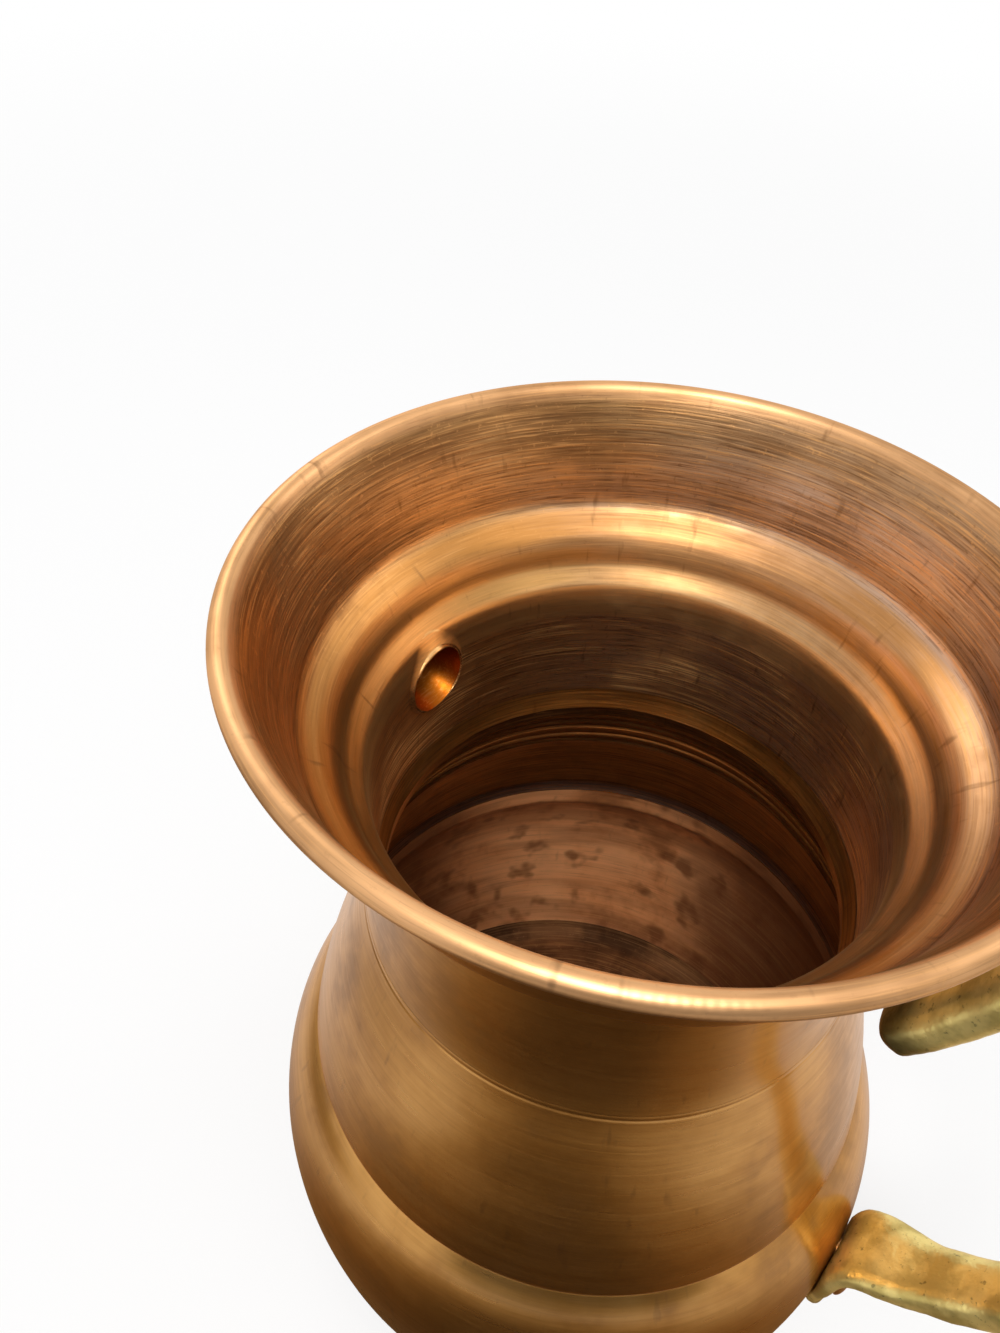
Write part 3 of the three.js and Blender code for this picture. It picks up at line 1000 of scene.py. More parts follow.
@dataclass
class MouthShell:
    """Neck, two rounded steps, funnel and rolled rim, spun from one sheet."""

    sizes: BodySizes = SIZES
    corner: float = 0.7
    funnel_corner: float = 1.9
    funnel_corner_reach: float = 2.6
    bevel: tuple[float, float] = (0.45, 2.6)
    riser: tuple[float, float] = (1.6, 1.0)
    step: float = 0.4
    waves: Waves = ((2, 0.10, 0.6), (3, 0.05, 2.1), (5, 0.03, 4.0))
    wave_inset: float = 0.18
    wave_reach: float = 60.0
    finish: SpunCopper = outside_copper("mouth_copper", 0.35, 0.31, 1.7)
    lining: SpunCopper = SpunCopper(
        # Painted sheen on one side of the lining, and a darker band below the rim.
        "mouth_lining", sheen_at=50.0, scored=(0.112, 0.1362), ribbed=(0.175, 0.19), smears=0.55, anisotropy=0.45,
        rim_darkening=(0.1615, 0.1725), streaks=0.8, scratches=1.0,
        # Polish zones: real polish, with colours partly painted as highlight on the steps and the bead.
        polish_and_highlight=((0.1362, 0.1432, (0.74, 0.46, 0.18), 0.0), (0.1432, 0.1505, (0.47, 0.255, 0.082), 0.0),
                  (0.1505, 0.1552, (0.42, 0.182, 0.044), 0.0), (0.1753, 0.19, (0.74, 0.41, 0.19), 0.08)))

    def wall(self) -> Points:
        """Gives the inside of the sheet.

        Returns:
            Rows of radius and height, from the waist to the rolled rim.
        """
        sizes = self.sizes
        foot = (sizes.neck_foot[0], sizes.waist_height + sizes.waist_slit)
        bevel = np.array(sizes.neck_top) + self.bevel
        pull = (sizes.low_top[0] + self.riser[0], sizes.high_top[1] - self.riser[1])
        high = bow(sizes.low_top, pull, sizes.high_top, 20)
        middle = (np.array(sizes.high_top) + np.array(sizes.funnel_top)) / 2
        funnel = bow(sizes.high_top, (middle[0] - 2 * sizes.funnel_hollow, middle[1]), sizes.funnel_top, 24)
        line = np.vstack(([foot], [sizes.neck_top], [bevel], high, funnel[1:]))
        crisp, soft = (eased(line, corner, self.step) for corner in (self.corner, self.funnel_corner))
        share = np.exp(-((crisp[:, 1:] - sizes.high_top[1]) / self.funnel_corner_reach) ** 2)
        return crisp + share * (soft - crisp)

    def build(self) -> bpy.types.Object:
        """Turns the sheet.

        Returns:
            The shell, still without its spout hole.
        """
        sizes = self.sizes
        roll = arc(sizes.bead_centre, sizes.bead_radius, sizes.bead_radius, sizes.bead_start, sizes.bead_end, 22)
        inside = np.vstack((self.wall(), roll[1:]))
        outside = shifted(inside, -sizes.sheet)
        outside[:, 0] += sizes.fillet(outside[:, 1])
        loop = np.vstack((outside, inside[::-1]))
        shell = turned("mouth_shell_spun", loop, sizes.sides, self.wobble)
        lined(shell, (len(outside) - 1) * sizes.sides, (len(loop) - 1) * sizes.sides)
        return coat(shell, self.finish.make(), self.lining.make())

    def wobble(self, turn: Points, radius: Points, height: Points) -> Points:
        """Gives the small change of radius that hand spinning leaves."""
        share = np.clip((height - self.sizes.neck_foot[1]) / self.wave_reach, 0, 1)
        return share * (ripple(turn, self.waves) - self.wave_inset)


@dataclass
class ShoulderShell:
    """Spun bell between the belly seam and the waist, with ledges that the tool left inside below the waist."""

    sizes: BodySizes = SIZES
    edge_roll: float = 0.75
    edge_reach: float = 1.1
    ledge_height: float = 0.55
    ledge_slope: tuple[float, float] = (0.6, 1.5)
    ledge_starts: tuple[float, ...] = (3.2, 6.2, 9.6, 14.0, 17.2)
    score_depth: float = 0.07
    score_width: float = 0.2
    scores: tuple[float, ...] = (1.1,)
    knocks: tuple[tuple[float, float, float, float], ...] = (
        (-93, 103, 8, 0.55), (-70, 91, 8, 0.32), (-32, 101, 8, 0.50), (-12, 92, 7, 0.3), (62, 94, 9, 0.4),
        (128, 101, 8, 0.4), (-150, 98, 10, 0.5))
    waves: Waves = ((2, 0.10, 1.0), (3, 0.08, 0.2), (7, 0.04, 2.0))
    wave_inset: float = 0.1
    step: float = 0.25
    inner_roll: float = 0.6
    collar_flare: float = 0.03
    collar_drop: float = 0.6
    brow_drop: float = 0.05
    finish: SpunCopper = outside_copper("shoulder_copper", 0.38, 0.30, 3.1)
    lining: SpunCopper = SpunCopper(
        "shoulder_lining", bright=(0.42, 0.25, 0.10), brown=(0.26, 0.135, 0.05), roughness=0.34, streaks=0.8,
        scratches=0.8, anisotropy=0.0, seed=5.1)

    def outside(self) -> Points:
        """Gives the outside of the bell.

        Returns:
            Rows of radius and height, from the seam to the waist.
        """
        sizes = self.sizes
        middle = ((sizes.seam_radius + sizes.waist_radius) / 2 + sizes.shoulder_swell,
                  sizes.seam_height + sizes.shoulder_height / 2)
        curve = bow((sizes.seam_radius, sizes.seam_height), middle, (sizes.waist_radius, sizes.waist_height), 60)
        return evenly(curve, self.step)

    def inside_at(self, height: float) -> float:
        """Gives the bell's inside radius at a height, away from its ledges."""
        inner = shifted(self.outside(), self.sizes.sheet)
        return float(np.interp(height, inner[:, 1], inner[:, 0]))

    def build(self) -> bpy.types.Object:
        """Turns the bell.

        Returns:
            The new piece.
        """
        sizes = self.sizes
        outside = self.outside()
        along = lengths(outside)
        below_waist = along[-1] - along
        ledge = self.ledge_height * ledges(below_waist, self.ledge_starts, *self.ledge_slope)
        score = self.score_depth * swell(below_waist, self.scores, self.score_width)
        roll = self.edge_roll * np.exp(-(along / self.edge_reach) ** 2)
        skin = shifted(outside, roll + score)
        skin[:, 0] += sizes.fillet(skin[:, 1])
        inner = shifted(outside, sizes.sheet + self.inner_roll * roll + ledge)
        collar = sizes.waist_radius - sizes.sheet - sizes.gap
        collar_top = sizes.waist_height + sizes.waist_lap
        neck = np.array([[collar, sizes.waist_height], [collar + self.collar_flare, collar_top],
                         [collar - sizes.sheet, collar_top],
                         [collar - sizes.sheet, sizes.waist_height - self.collar_drop]])
        brow = [[sizes.waist_radius + sizes.waist_fillet[0], sizes.waist_height - self.brow_drop]]
        loop = np.vstack((skin[:-1], brow, neck, inner[-2::-1]))
        bell = turned("shoulder_shell_spun", loop, sizes.sides, self.wobble)
        lined(bell, len(skin) * sizes.sides, (len(loop) - 1) * sizes.sides)
        return coat(bell, self.finish.make(), self.lining.make())

    def wobble(self, turn: Points, radius: Points, height: Points) -> Points:
        """Gives the small waves and dents that spinning and handling leave in the bell."""
        share = middle_share((height - self.sizes.seam_height) / self.sizes.shoulder_height)
        return share * (ripple(turn, self.waves) - self.wave_inset - dents(turn, height, self.knocks))


@dataclass
class BellyCup:
    """Round wall on a shallow pan, which laps up inside the shoulder."""

    sizes: BodySizes = SIZES
    marks: Waves = ((11, 0.05, 1.0), (17, 0.04, 0.2), (23, 0.03, 2.0))
    mark_inset: float = 0.12
    mark_slant: float = 0.02
    side_step: float = 0.9
    collar_step: float = 1.0
    floor_step: float = 3.0
    foot_gap: float = 0.25
    finish: SpunCopper = outside_copper("belly_copper", 0.38, 0.30, 6.7)
    lining: SpunCopper = SpunCopper(
        # Painted shade darkens the lining everywhere but round a lit patch on one side.
        "belly_lining", bright=(1.0, 0.47, 0.20), brown=(0.80, 0.32, 0.115), stain=(0.17, 0.055, 0.018),
        lit_patch_at=124.0, spots=0.75, stained=0.6, tide=0.4, metal=0.15, roughness=0.40, line_pitch=0.0022, streaks=0.25,
        anisotropy=0.0, line_depth=0.2, seed=8.3)
    # The pan's lining is much darker than the wall's: its own stains, and painted shade on the deep floor.
    floor_lining: SpunCopper = SpunCopper(
        "floor_lining", bright=(0.27, 0.12, 0.045), brown=(0.17, 0.072, 0.025), stain=(0.07, 0.03, 0.012),
        spots=0.7, stained=0.7, metal=0.6, roughness=0.72, streaks=0.3, anisotropy=0.0, seed=2.9)

    def foot_curve(self, start: float, end: float, steps: int) -> Points:
        """Gives the outside below the widest place.

        Args:
            start: First angle, in degrees.
            end: Last angle, in degrees.
            steps: Number of steps between them.

        Returns:
            Rows of radius and height.
        """
        sizes = self.sizes
        return arc((sizes.base_radius, sizes.belly_height), sizes.belly_radius - sizes.base_radius,
                   sizes.belly_height, start, end, steps)

    def edge_angle(self) -> float:
        """Gives the angle in degrees at which the pan meets the wall."""
        return math.degrees(math.asin(self.sizes.base_edge / self.sizes.belly_height - 1))

    def build(self) -> bpy.types.Object:
        """Turns the wall.

        Returns:
            The new piece.
        """
        sizes = self.sizes
        foot = sizes.seam_radius - sizes.sheet - sizes.gap
        low = self.foot_curve(self.edge_angle() + self.foot_gap, 0, 60)
        high = arc((sizes.round_centre, sizes.belly_height), sizes.belly_radius - sizes.round_centre,
                   sizes.belly_height, 0, sizes.oval_angle(foot), 60)
        side = np.vstack((low, high[1:]))
        top = (self.collar_radius(), side[-1, 1] + sizes.seam_lap)
        collar = evenly(np.vstack((side[-1], top)), self.collar_step)
        outside = np.vstack((evenly(side, self.side_step), collar[1:]))
        inner = shifted(outside, sizes.sheet)
        loop = np.vstack((outside, inner[::-1]))
        wall = turned("belly_cup_spun", loop, sizes.sides, self.wobble)
        return lined(wall, len(outside) * sizes.sides, (len(loop) - 1) * sizes.sides)

    def build_base(self) -> bpy.types.Object:
        """Makes the pan let into the wall's foot.

        Returns:
            The new piece.
        """
        sizes = self.sizes
        floor = evenly(np.array([[0.0, 0.0], [sizes.base_radius, 0.0]]), self.floor_step)
        outside = np.vstack((floor[:-1], self.foot_curve(-90, self.edge_angle(), 16)))
        inner = shifted(outside, sizes.sheet)
        inner[0, 0] = 0.0
        loop = np.vstack((outside, inner[::-1]))
        pan = turned("base_pan_spun", loop, sizes.sides)
        for face in pan.data.polygons:
            reach = math.hypot(face.center.x, face.center.y) / MM
            if face.center.z / MM > 0.5 * sizes.sheet and reach < sizes.base_radius or face.normal.z > 0.1:
                face.material_index = 1
        return pan

    def wobble(self, turn: Points, radius: Points, height: Points) -> Points:
        """Gives the shallow hammer marks that shaping leaves, clear of the seam and the handle's pad."""
        share = middle_share(height / self.sizes.seam_height) * (0.5 - 0.5 * np.clip(np.cos(turn) / 0.9, -1, 1))
        return share * (ripple(turn + self.mark_slant * height, self.marks) - self.mark_inset)

    def collar_radius(self) -> float:
        """Gives the outside radius of the collar's top edge.

        Returns:
            The radius that clears the shoulder.
        """
        sizes = self.sizes
        bell = ShoulderShell(sizes).outside()
        height = sizes.oval_height(sizes.seam_radius - sizes.sheet - sizes.gap) + sizes.seam_lap
        return float(np.interp(height, bell[:, 1], bell[:, 0])) - sizes.sheet - sizes.gap - sizes.seam_ease


@dataclass
class BrazeRing:
    """Fillet of brazing metal that ran into the corner of a lapped seam, a little uneven."""

    name: str
    node: str
    wall: tuple[float, float]
    edge: tuple[float, float]
    hollow: float = 0.12
    lumps: float = 0.10
    waves: Waves = ((9, 0.4, 0.3), (17, 0.35, 2.2), (31, 0.25, 4.4), (47, 0.2, 1.1))
    wave_inset: float = 1.0
    toe: float = 0.15
    foot: tuple[float, float] = (0.12, 0.6)
    sizes: BodySizes = SIZES

    def build(self) -> bpy.types.Object:
        """Makes the fillet.

        Returns:
            The new piece.
        """
        (top, high), (inner, low) = self.wall, self.edge
        pull = ((top + inner) / 2 + self.hollow, (high + low) / 2 - self.hollow)
        slope = bow((top, high), pull, (inner, low + self.toe), 8)
        foot = [[inner + reach, low] for reach in self.foot]
        return turned(self.name, np.vstack((slope, foot)), self.sizes.sides, self.wobble)

    def wobble(self, turn: Points, radius: Points, height: Points) -> Points:
        """Gives the fillet's uneven run, most at its lower edge."""
        share = np.clip((self.wall[1] - height) / (self.wall[1] - self.edge[1]), 0, 1)
        return self.lumps * share * (ripple(turn, self.waves) - self.wave_inset)


# Spout

@dataclass
class Spout:
    """Straight tube through the neck wall, cut upright inside, with a flange outside."""

    sizes: BodySizes = SIZES
    radius: float = 6.8
    tip_radius: float = 5.6
    above_waist: float = 24.4
    rise: float = 20.0
    inside: float = 1.3
    straight: float = 14.0
    length: float = 43.0
    flange_width: float = 3.0
    flange_thickness: float = 1.6
    run_width: tuple[float, float] = (0.9, 2.0)
    run_thickness: float = 0.8
    seat_gap: float = 0.02
    seat_reach: float = 20.0
    run_waves: Waves = ((3, 0.10, 1.0), (5, 0.08, 2.0))
    sides: int = 72
    file_depth: float = 0.12
    file_marks: Waves = ((3, 0.5, 0.4), (7, 0.3, 1.9), (13, 0.2, 0.7))
    lip: float = 0.3
    edge_round: float = 0.2
    first_ring: float = 2.5
    tip_ease: float = 0.25
    finish: SpunCopper = SpunCopper("spout_copper", seed=9.2)
    bore_finish: SpunCopper = SpunCopper(
        "spout_bore", bright=(0.46, 0.135, 0.009), brown=(0.32, 0.075, 0.004), stain=(0.2, 0.05, 0.006),
        roughness=0.36, anisotropy=0.0, streaks=0.2, line_depth=0.2, seed=4.4)

    @property
    def neck_inside(self) -> float:
        """Radius of the neck wall, inside, at the spout."""
        sizes = self.sizes
        return sizes.neck_foot[0] + sizes.neck_taper * self.above_waist / sizes.neck_height

    def axes(self) -> tuple[Points, Points, Points, Points]:
        """Gives the tube's own axes.

        Returns:
            Its start in the neck wall, its outward direction and its two cross directions, sideways and up.
        """
        tilt = math.radians(self.rise)
        start = np.array([-self.neck_inside - self.sizes.sheet / 2, 0, self.sizes.waist_height + self.above_waist])
        out = np.array([-math.cos(tilt), 0, math.sin(tilt)])
        up = np.array([math.sin(tilt), 0, math.cos(tilt)])
        return start, out, np.array([0.0, 1.0, 0.0]), up

    def ring(self, radius: Points | float, along: Points | float) -> Points:
        """Gives a ring of corners round the tube's axis.

        Args:
            radius: Radius of the ring, the same all round or one for each corner.
            along: Distance along the axis, the same all round or one for each corner.

        Returns:
            Rows of x, y and z.
        """
        start, out, side, up = self.axes()
        turn = full_turn(self.sides)
        along = np.broadcast_to(np.asarray(along, float), turn.shape)
        return (start + along[:, None] * out + (radius * np.cos(turn))[:, None] * side
                + (radius * np.sin(turn))[:, None] * up)

    def cut(self, radius: float, depth: float) -> Points:
        """Gives the upright, filed cut inside the neck.

        Args:
            radius: Radius at which it is cut.
            depth: How far it lies below the tube's inner face.

        Returns:
            Distances along the axis, all round the tube.
        """
        start, out, _, up = self.axes()
        turn = full_turn(self.sides)
        face = self.inside - self.neck_inside + self.file_depth * (ripple(turn, self.file_marks) - 1)
        return (face - depth - start[0] - radius * np.sin(turn) * up[0]) / out[0]

    def radius_at(self, along: float) -> float:
        """Gives the tube's outside radius at a distance along its axis."""
        share = max(0.0, (along - self.straight) / (self.length - self.straight))
        return self.radius + (self.tip_radius - self.radius) * share

    def wall_at(self, along: float) -> float:
        """Gives the tube's wall at a distance along its axis, reamed thin at the inner end."""
        share = min(1.0, max(0.0, along / self.straight))
        return self.lip + (self.sizes.sheet - self.lip) * share

    def build_tube(self) -> bpy.types.Object:
        """Makes the tube, open at both ends.

        Returns:
            The new piece.
        """
        wall = self.sizes.sheet
        round_off = self.edge_round * wall
        lip = self.lip
        middle = np.linspace(self.first_ring, self.length - self.tip_ease, 24)
        rings = [self.ring(self.radius - round_off, self.cut(self.radius - round_off, 0.0)),
                 self.ring(self.radius, self.cut(self.radius, round_off))]
        rings += [self.ring(self.radius_at(place), place) for place in middle]
        rings += [self.ring(self.tip_radius - round_off, self.length),
                  self.ring(self.tip_radius - wall + round_off, self.length)]
        rings += [self.ring(self.radius_at(place) - self.wall_at(place), place) for place in middle[::-1]]
        rings.append(self.ring(self.radius - lip, self.cut(self.radius - lip, 0.0)))
        corners = np.vstack(rings)
        tube = make_object("spout_tube_drawn", corners, grid_faces(len(rings), self.sides, close_rows=True), 50)
        lined(tube, (len(middle) + 3) * self.sides, (len(rings) - 1) * self.sides)
        return coat(tube, self.finish.make(), self.bore_finish.make())

    def build_drill(self) -> bpy.types.Object:
        """Makes the solid that drills the neck wall.

        Returns:
            The drill.
        """
        hole = self.radius + self.sizes.gap
        rings = [self.ring(hole, -2 * self.radius), self.ring(hole, 2 * self.radius)]
        faces = grid_faces(2, self.sides)
        faces.append(tuple(range(self.sides))[::-1])
        faces.append(tuple(range(self.sides, 2 * self.sides)))
        return make_object("spout_drill", np.vstack(rings), faces)

    def build_flange(self, shell: bpy.types.Object) -> bpy.types.Object:
        """Makes the flange on the outside of the neck and the braze that ran through to the inside.

        Args:
            shell: The mouth shell before it is drilled.

        Returns:
            The new piece.
        """
        turn = full_turn(self.sides)
        even = np.full(self.sides, self.flange_width)
        low, high = self.run_width
        uneven = low + (high - low) * np.clip(np.sin(turn), 0, 1) ** 2 + ripple(turn, self.run_waves)
        flange = self.seat(shell, 1.0, even, self.flange_thickness)
        run = self.seat(shell, -1.0, uneven, self.run_thickness)
        rows = len(flange) // self.sides
        faces = grid_faces(rows, self.sides, close_rows=True)
        faces += [tuple(corner + len(flange) for corner in face[::-1]) for face in faces]
        piece = make_object("spout_flange_brazed", np.vstack((flange, run)), faces, 60)
        return lined(piece, len(faces) // 2, len(faces))

    def seat(self, shell: bpy.types.Object, way: float, width: Points, thickness: float) -> Points:
        """Gives the corners of a ring of metal that lies on the neck round the tube.

        Args:
            shell: The mouth shell before it is drilled.
            way: One for the outside of the neck, minus one for the inside.
            width: Width of the ring at each corner round the tube.
            thickness: Thickness against the tube.

        Returns:
            Rows of x, y and z, ring by ring.
        """
        out = self.axes()[1]
        wall = BVHTree.FromObject(shell, bpy.context.evaluated_depsgraph_get())
        shares = np.linspace(0, 1, 9)
        rows = []
        for lift in (0.0, 1.0):
            for share in (shares if lift else shares[::-1]):
                bulge = max(0.0, 1 - share ** 3) ** 0.6 if way > 0 else (1 - share) ** 2
                height = self.seat_gap + lift * thickness * bulge
                radius = self.radius + self.sizes.gap / 2 + share * width
                for point in self.ring(radius, self.seat_reach * way):
                    hit = wall.ray_cast(Vector(point * MM), Vector(-way * out))[0]
                    seat = np.array(hit) / MM if hit else point - way * out * self.seat_reach
                    rows.append(seat + way * out * height)
        return np.array(rows)


# Handle

def through(points: Sequence[Sequence[float]], per_span: int = 40) -> Points:
    """Gives a smooth line through points, with no loops where they are close.

    Args:
        points: Points on the line.
        per_span: Steps between two of them.

    Returns:
        Rows of x and z.
    """
    knots = np.array(points, float)
    knots = np.vstack((2 * knots[0] - knots[1], knots, 2 * knots[-1] - knots[-2]))
    line = []
    for first, start, end, last in zip(knots, knots[1:], knots[2:], knots[3:]):
        pairs = ((first, start), (start, end), (end, last))
        before, span, after = (math.sqrt(np.linalg.norm(there - here)) for here, there in pairs)
        leave = ((start - first) / before - (end - first) / (before + span) + (end - start) / span) * span
        arrive = ((end - start) / span - (last - start) / (span + after) + (last - end) / after) * span
        share = np.linspace(0, 1, per_span, endpoint=False)[:, None]
        line.append(start + leave * share + (3 * (end - start) - 2 * leave - arrive) * share ** 2
                    + (2 * (start - end) + leave + arrive) * share ** 3)
    return np.vstack((*line, knots[-2]))


def stops(places: Points, rows: Sequence[tuple[float, float]]) -> Points:
    """Reads sizes off a row of stops, with soft changes between them.

    Args:
        places: Shares of the length.
        rows: Share of the length and size of each stop.

    Returns:
        The size at each place.
    """
    result = np.full(len(places), rows[-1][1], float)
    for (start, first), (end, last) in zip(rows, rows[1:]):
        share = np.clip((places - start) / (end - start), 0, 1)
        inside = (places >= start) & (places <= end)
        result[inside] = (first + (last - first) * share ** 2 * (3 - 2 * share))[inside]
    return result


@dataclass
class Handle:
    """Cast bar from a free tip beside the funnel, over the hand, to a riveted pad on the belly."""

    sizes: BodySizes = SIZES
    standoff: float = 7.2
    thickness: float = 8.6
    width: float = 20.0
    tip_drop: float = 31.0
    tip_curl: float = 2.4
    reach: float = 112.0
    grip_width: float = 13.0
    pad_thickness: float = 5.0
    pad_width: float = 19.0
    pad_tail: float = 14.0
    pad_sink: float = 1.5
    top_drop: float = 3.0
    squareness: float = 0.72
    tip_rounding: float = 4.0
    tip_shrink: float = 0.72
    end_rings: tuple[float, float] = (0.72, 0.4)
    lug_width: float = 9.0
    lug_height: float = 9.0
    lug_flare: float = 0.22
    lug_squareness: float = 0.6
    lug_gap: float = 0.1
    lug_sink: float = 0.9
    lug_rings: int = 14
    lug_sides: int = 40
    rivet_spacing: float = 10.0
    lump_depth: float = 0.75
    lump_size: float = 6.0
    pit_depth: float = 0.12
    pit_size: float = 1.6
    sections: int = 260
    around: int = 64
    finish: CastBrass = CastBrass("cast_brass")

    def funnel_axes(self) -> tuple[Points, Points]:
        """Gives the directions along the funnel wall.

        Returns:
            The direction up along the wall and the one out from it, as radius and height.
        """
        along = np.array(self.sizes.funnel_top) - np.array(self.sizes.high_top)
        along /= np.linalg.norm(along)
        return along, np.array([along[1], -along[0]])

    def arm(self, up: float, inward: float) -> Points:
        """Gives a point on the arm's line beside the funnel.

        Args:
            up: Distance up along the funnel wall, from the high step.
            inward: How much closer it lies to the wall than the arm does.

        Returns:
            Its radius and height.
        """
        along, out = self.funnel_axes()
        offset = self.sizes.sheet + self.standoff + self.thickness / 2
        return np.array(self.sizes.high_top) + up * along + (offset - inward) * out

    @property
    def pad_radius(self) -> float:
        """Distance of the pad's middle from the axis."""
        return self.sizes.belly_radius + self.pad_thickness / 2 - self.pad_sink

    def out_at(self, share: float) -> float:
        """Gives the distance from the axis at a share of the way from the rim to the handle's reach."""
        return self.sizes.mouth_radius + (self.reach - self.sizes.mouth_radius) * share

    def line(self) -> Points:
        """Gives the bar's centre line.

        Returns:
            Rows of x and z, from the tip to the pad's tail.
        """
        out = self.out_at
        top = self.sizes.bead_centre[1] - self.top_drop
        low = self.sizes.belly_height
        middle = (top + low) / 2
        return through([
            self.arm(-self.tip_drop, self.tip_curl),
            self.arm(-self.tip_drop / 2, self.tip_curl / 4),
            self.arm(0, 0),
            self.arm(self.tip_drop / 3, 0),
            (out(0.17), top - 5),
            (out(0.36), top),
            (out(0.64), top - 4.5),
            (out(0.88), top - 21),
            (self.reach, middle + 24),
            (out(0.95), middle - 6),
            (out(0.72), middle - 30),
            (out(0.4), low + 20),
            (self.pad_radius + 2.2, low + 11),
            (self.pad_radius, low),
            (self.pad_radius, low - self.pad_tail),
        ])

    def build(self) -> bpy.types.Object:
        """Sweeps the bar, seats its pad on the belly and roughens it as a sand casting.

        Returns:
            The new piece.
        """
        line = self.line()
        along = lengths(line)
        total = along[-1]
        share = np.linspace(0, 1, self.sections + 1)
        ends = 0.5 - 0.5 * np.cos(math.pi * share)
        place = 0.45 * ends + 0.55 * share
        centre = np.column_stack([np.interp(place * total, along, column) for column in line.T])
        step = np.gradient(centre, axis=0)
        step /= np.linalg.norm(step, axis=1)[:, None]
        out = np.column_stack((-step[:, 1], step[:, 0]))
        from_end = np.minimum(place, 1 - place) * total
        rounding = np.sqrt(1 - np.clip(1 - from_end / self.tip_rounding, 0, 1) ** 2 * self.tip_shrink)
        wide = stops(place, ((0, self.width), (0.2, self.width), (0.45, self.grip_width), (0.8, self.grip_width),
                             (0.92, self.pad_width), (1, 0.7 * self.pad_width))) / 2 * rounding
        thick = stops(place, ((0, self.thickness), (0.3, self.thickness), (0.5, self.thickness + 1),
                              (0.8, self.thickness), (0.92, self.pad_thickness),
                              (1, self.pad_thickness))) / 2 * rounding
        across, lift = soft_square(full_turn(self.around), self.squareness)
        x = centre[:, :1] + thick[:, None] * lift * out[:, :1]
        y = wide[:, None] * across
        z = centre[:, 1:] + thick[:, None] * lift * out[:, 1:]
        corners = np.stack((x, y, z), axis=-1).reshape(-1, 3)
        middle = np.repeat(np.column_stack((centre[:, 0], 0 * centre[:, 0], centre[:, 1])), self.around, axis=0)
        corners = self.seated(self.roughened(corners, middle))
        return make_object("handle_cast", *self.capped(corners), 70)

    def roughened(self, corners: Points, middle: Points) -> Points:
        """Presses lumps and pits into the bar, never outwards.

        Args:
            corners: Rows of x, y and z.
            middle: Point on the centre line that belongs to each corner.

        Returns:
            The moved corners.
        """
        inward = middle - corners
        inward /= np.linalg.norm(inward, axis=1)[:, None]
        depth = []
        for corner in corners:
            lump = noise.noise(Vector(corner / self.lump_size))
            pit = noise.turbulence(Vector(corner / self.pit_size), 2, False)
            depth.append(self.lump_depth * (0.5 - 0.5 * lump) + self.pit_depth * abs(pit))
        return corners + inward * np.array(depth)[:, None]

    def seated(self, corners: Points) -> Points:
        """Moves what would lie inside the belly out to just clear of it.

        Args:
            corners: Rows of x, y and z.

        Returns:
            The moved corners.
        """
        result = corners.copy()
        for row in result:
            if row[2] < self.sizes.seam_height:
                radius = math.hypot(row[0], row[1])
                least = self.sizes.belly_at(row[2]) + self.sizes.gap
                if radius < least:
                    row[:2] *= least / radius
        return result

    def capped(self, corners: Points) -> tuple[Points, list[tuple[int, ...]]]:
        """Closes both ends with rings that shrink to a point.

        Args:
            corners: Corners of the open bar, ring by ring.

        Returns:
            All corners, and the corner numbers of each face.
        """
        faces = [face[::-1] for face in grid_faces(self.sections + 1, self.around)]
        for row, back in ((0, False), (self.sections, True)):
            ring = list(range(row * self.around, (row + 1) * self.around))
            edge = corners[ring]
            middle = edge.mean(axis=0)
            for share in self.end_rings:
                inner = list(range(len(corners), len(corners) + self.around))
                corners = np.vstack((corners, middle + (edge - middle) * share))
                faces += self.collar(ring, inner, back)
                ring = inner
            tip = len(corners)
            corners = np.vstack((corners, middle))
            for here, beside in zip(ring, ring[1:] + ring[:1]):
                faces.append((tip, beside, here) if back else (tip, here, beside))
        return corners, faces

    @staticmethod
    def collar(outer: list[int], inner: list[int], back: bool) -> list[tuple[int, ...]]:
        """Gives the faces between two rings of corners.

        Args:
            outer: Corner numbers of the outer ring.
            inner: Corner numbers of the inner ring.
            back: Whether the faces look the other way.

        Returns:
            Corner numbers of each face.
        """
        faces = []
        for i in range(len(outer)):
            j = (i + 1) % len(outer)
            face = (outer[i], outer[j], inner[j], inner[i])
            faces.append(face[::-1] if back else face)
        return faces

    def build_lug(self) -> bpy.types.Object:
        """Makes the lug between the arm and the funnel, with a fillet at both ends.

        Returns:
            The new piece.
        """
        along, out = self.funnel_axes()
        middle = np.array(self.sizes.high_top) + self.lug_height * along
        sides = self.lug_sides
        across, lift = soft_square(full_turn(sides), self.lug_squareness)
        rows = []
        for share in np.linspace(0, 1, self.lug_rings):
            flare = 1 + self.lug_flare * (2 * abs(share - 0.5)) ** 3
            depth = self.sizes.sheet + self.lug_gap + share * (self.standoff + self.lug_sink)
            height = 0.5 * self.lug_height * flare * lift
            spine = middle + out * depth
            rows.append(np.column_stack((spine[0] + along[0] * height, 0.5 * self.lug_width * flare * across,
                                         spine[1] + along[1] * height)))
        corners = np.vstack(rows)
        faces = grid_faces(len(rows), sides)
        faces.append(tuple(range(sides))[::-1])
        faces.append(tuple(range(len(corners) - sides, len(corners))))
        return make_object("handle_lug_cast", corners, faces, 50)


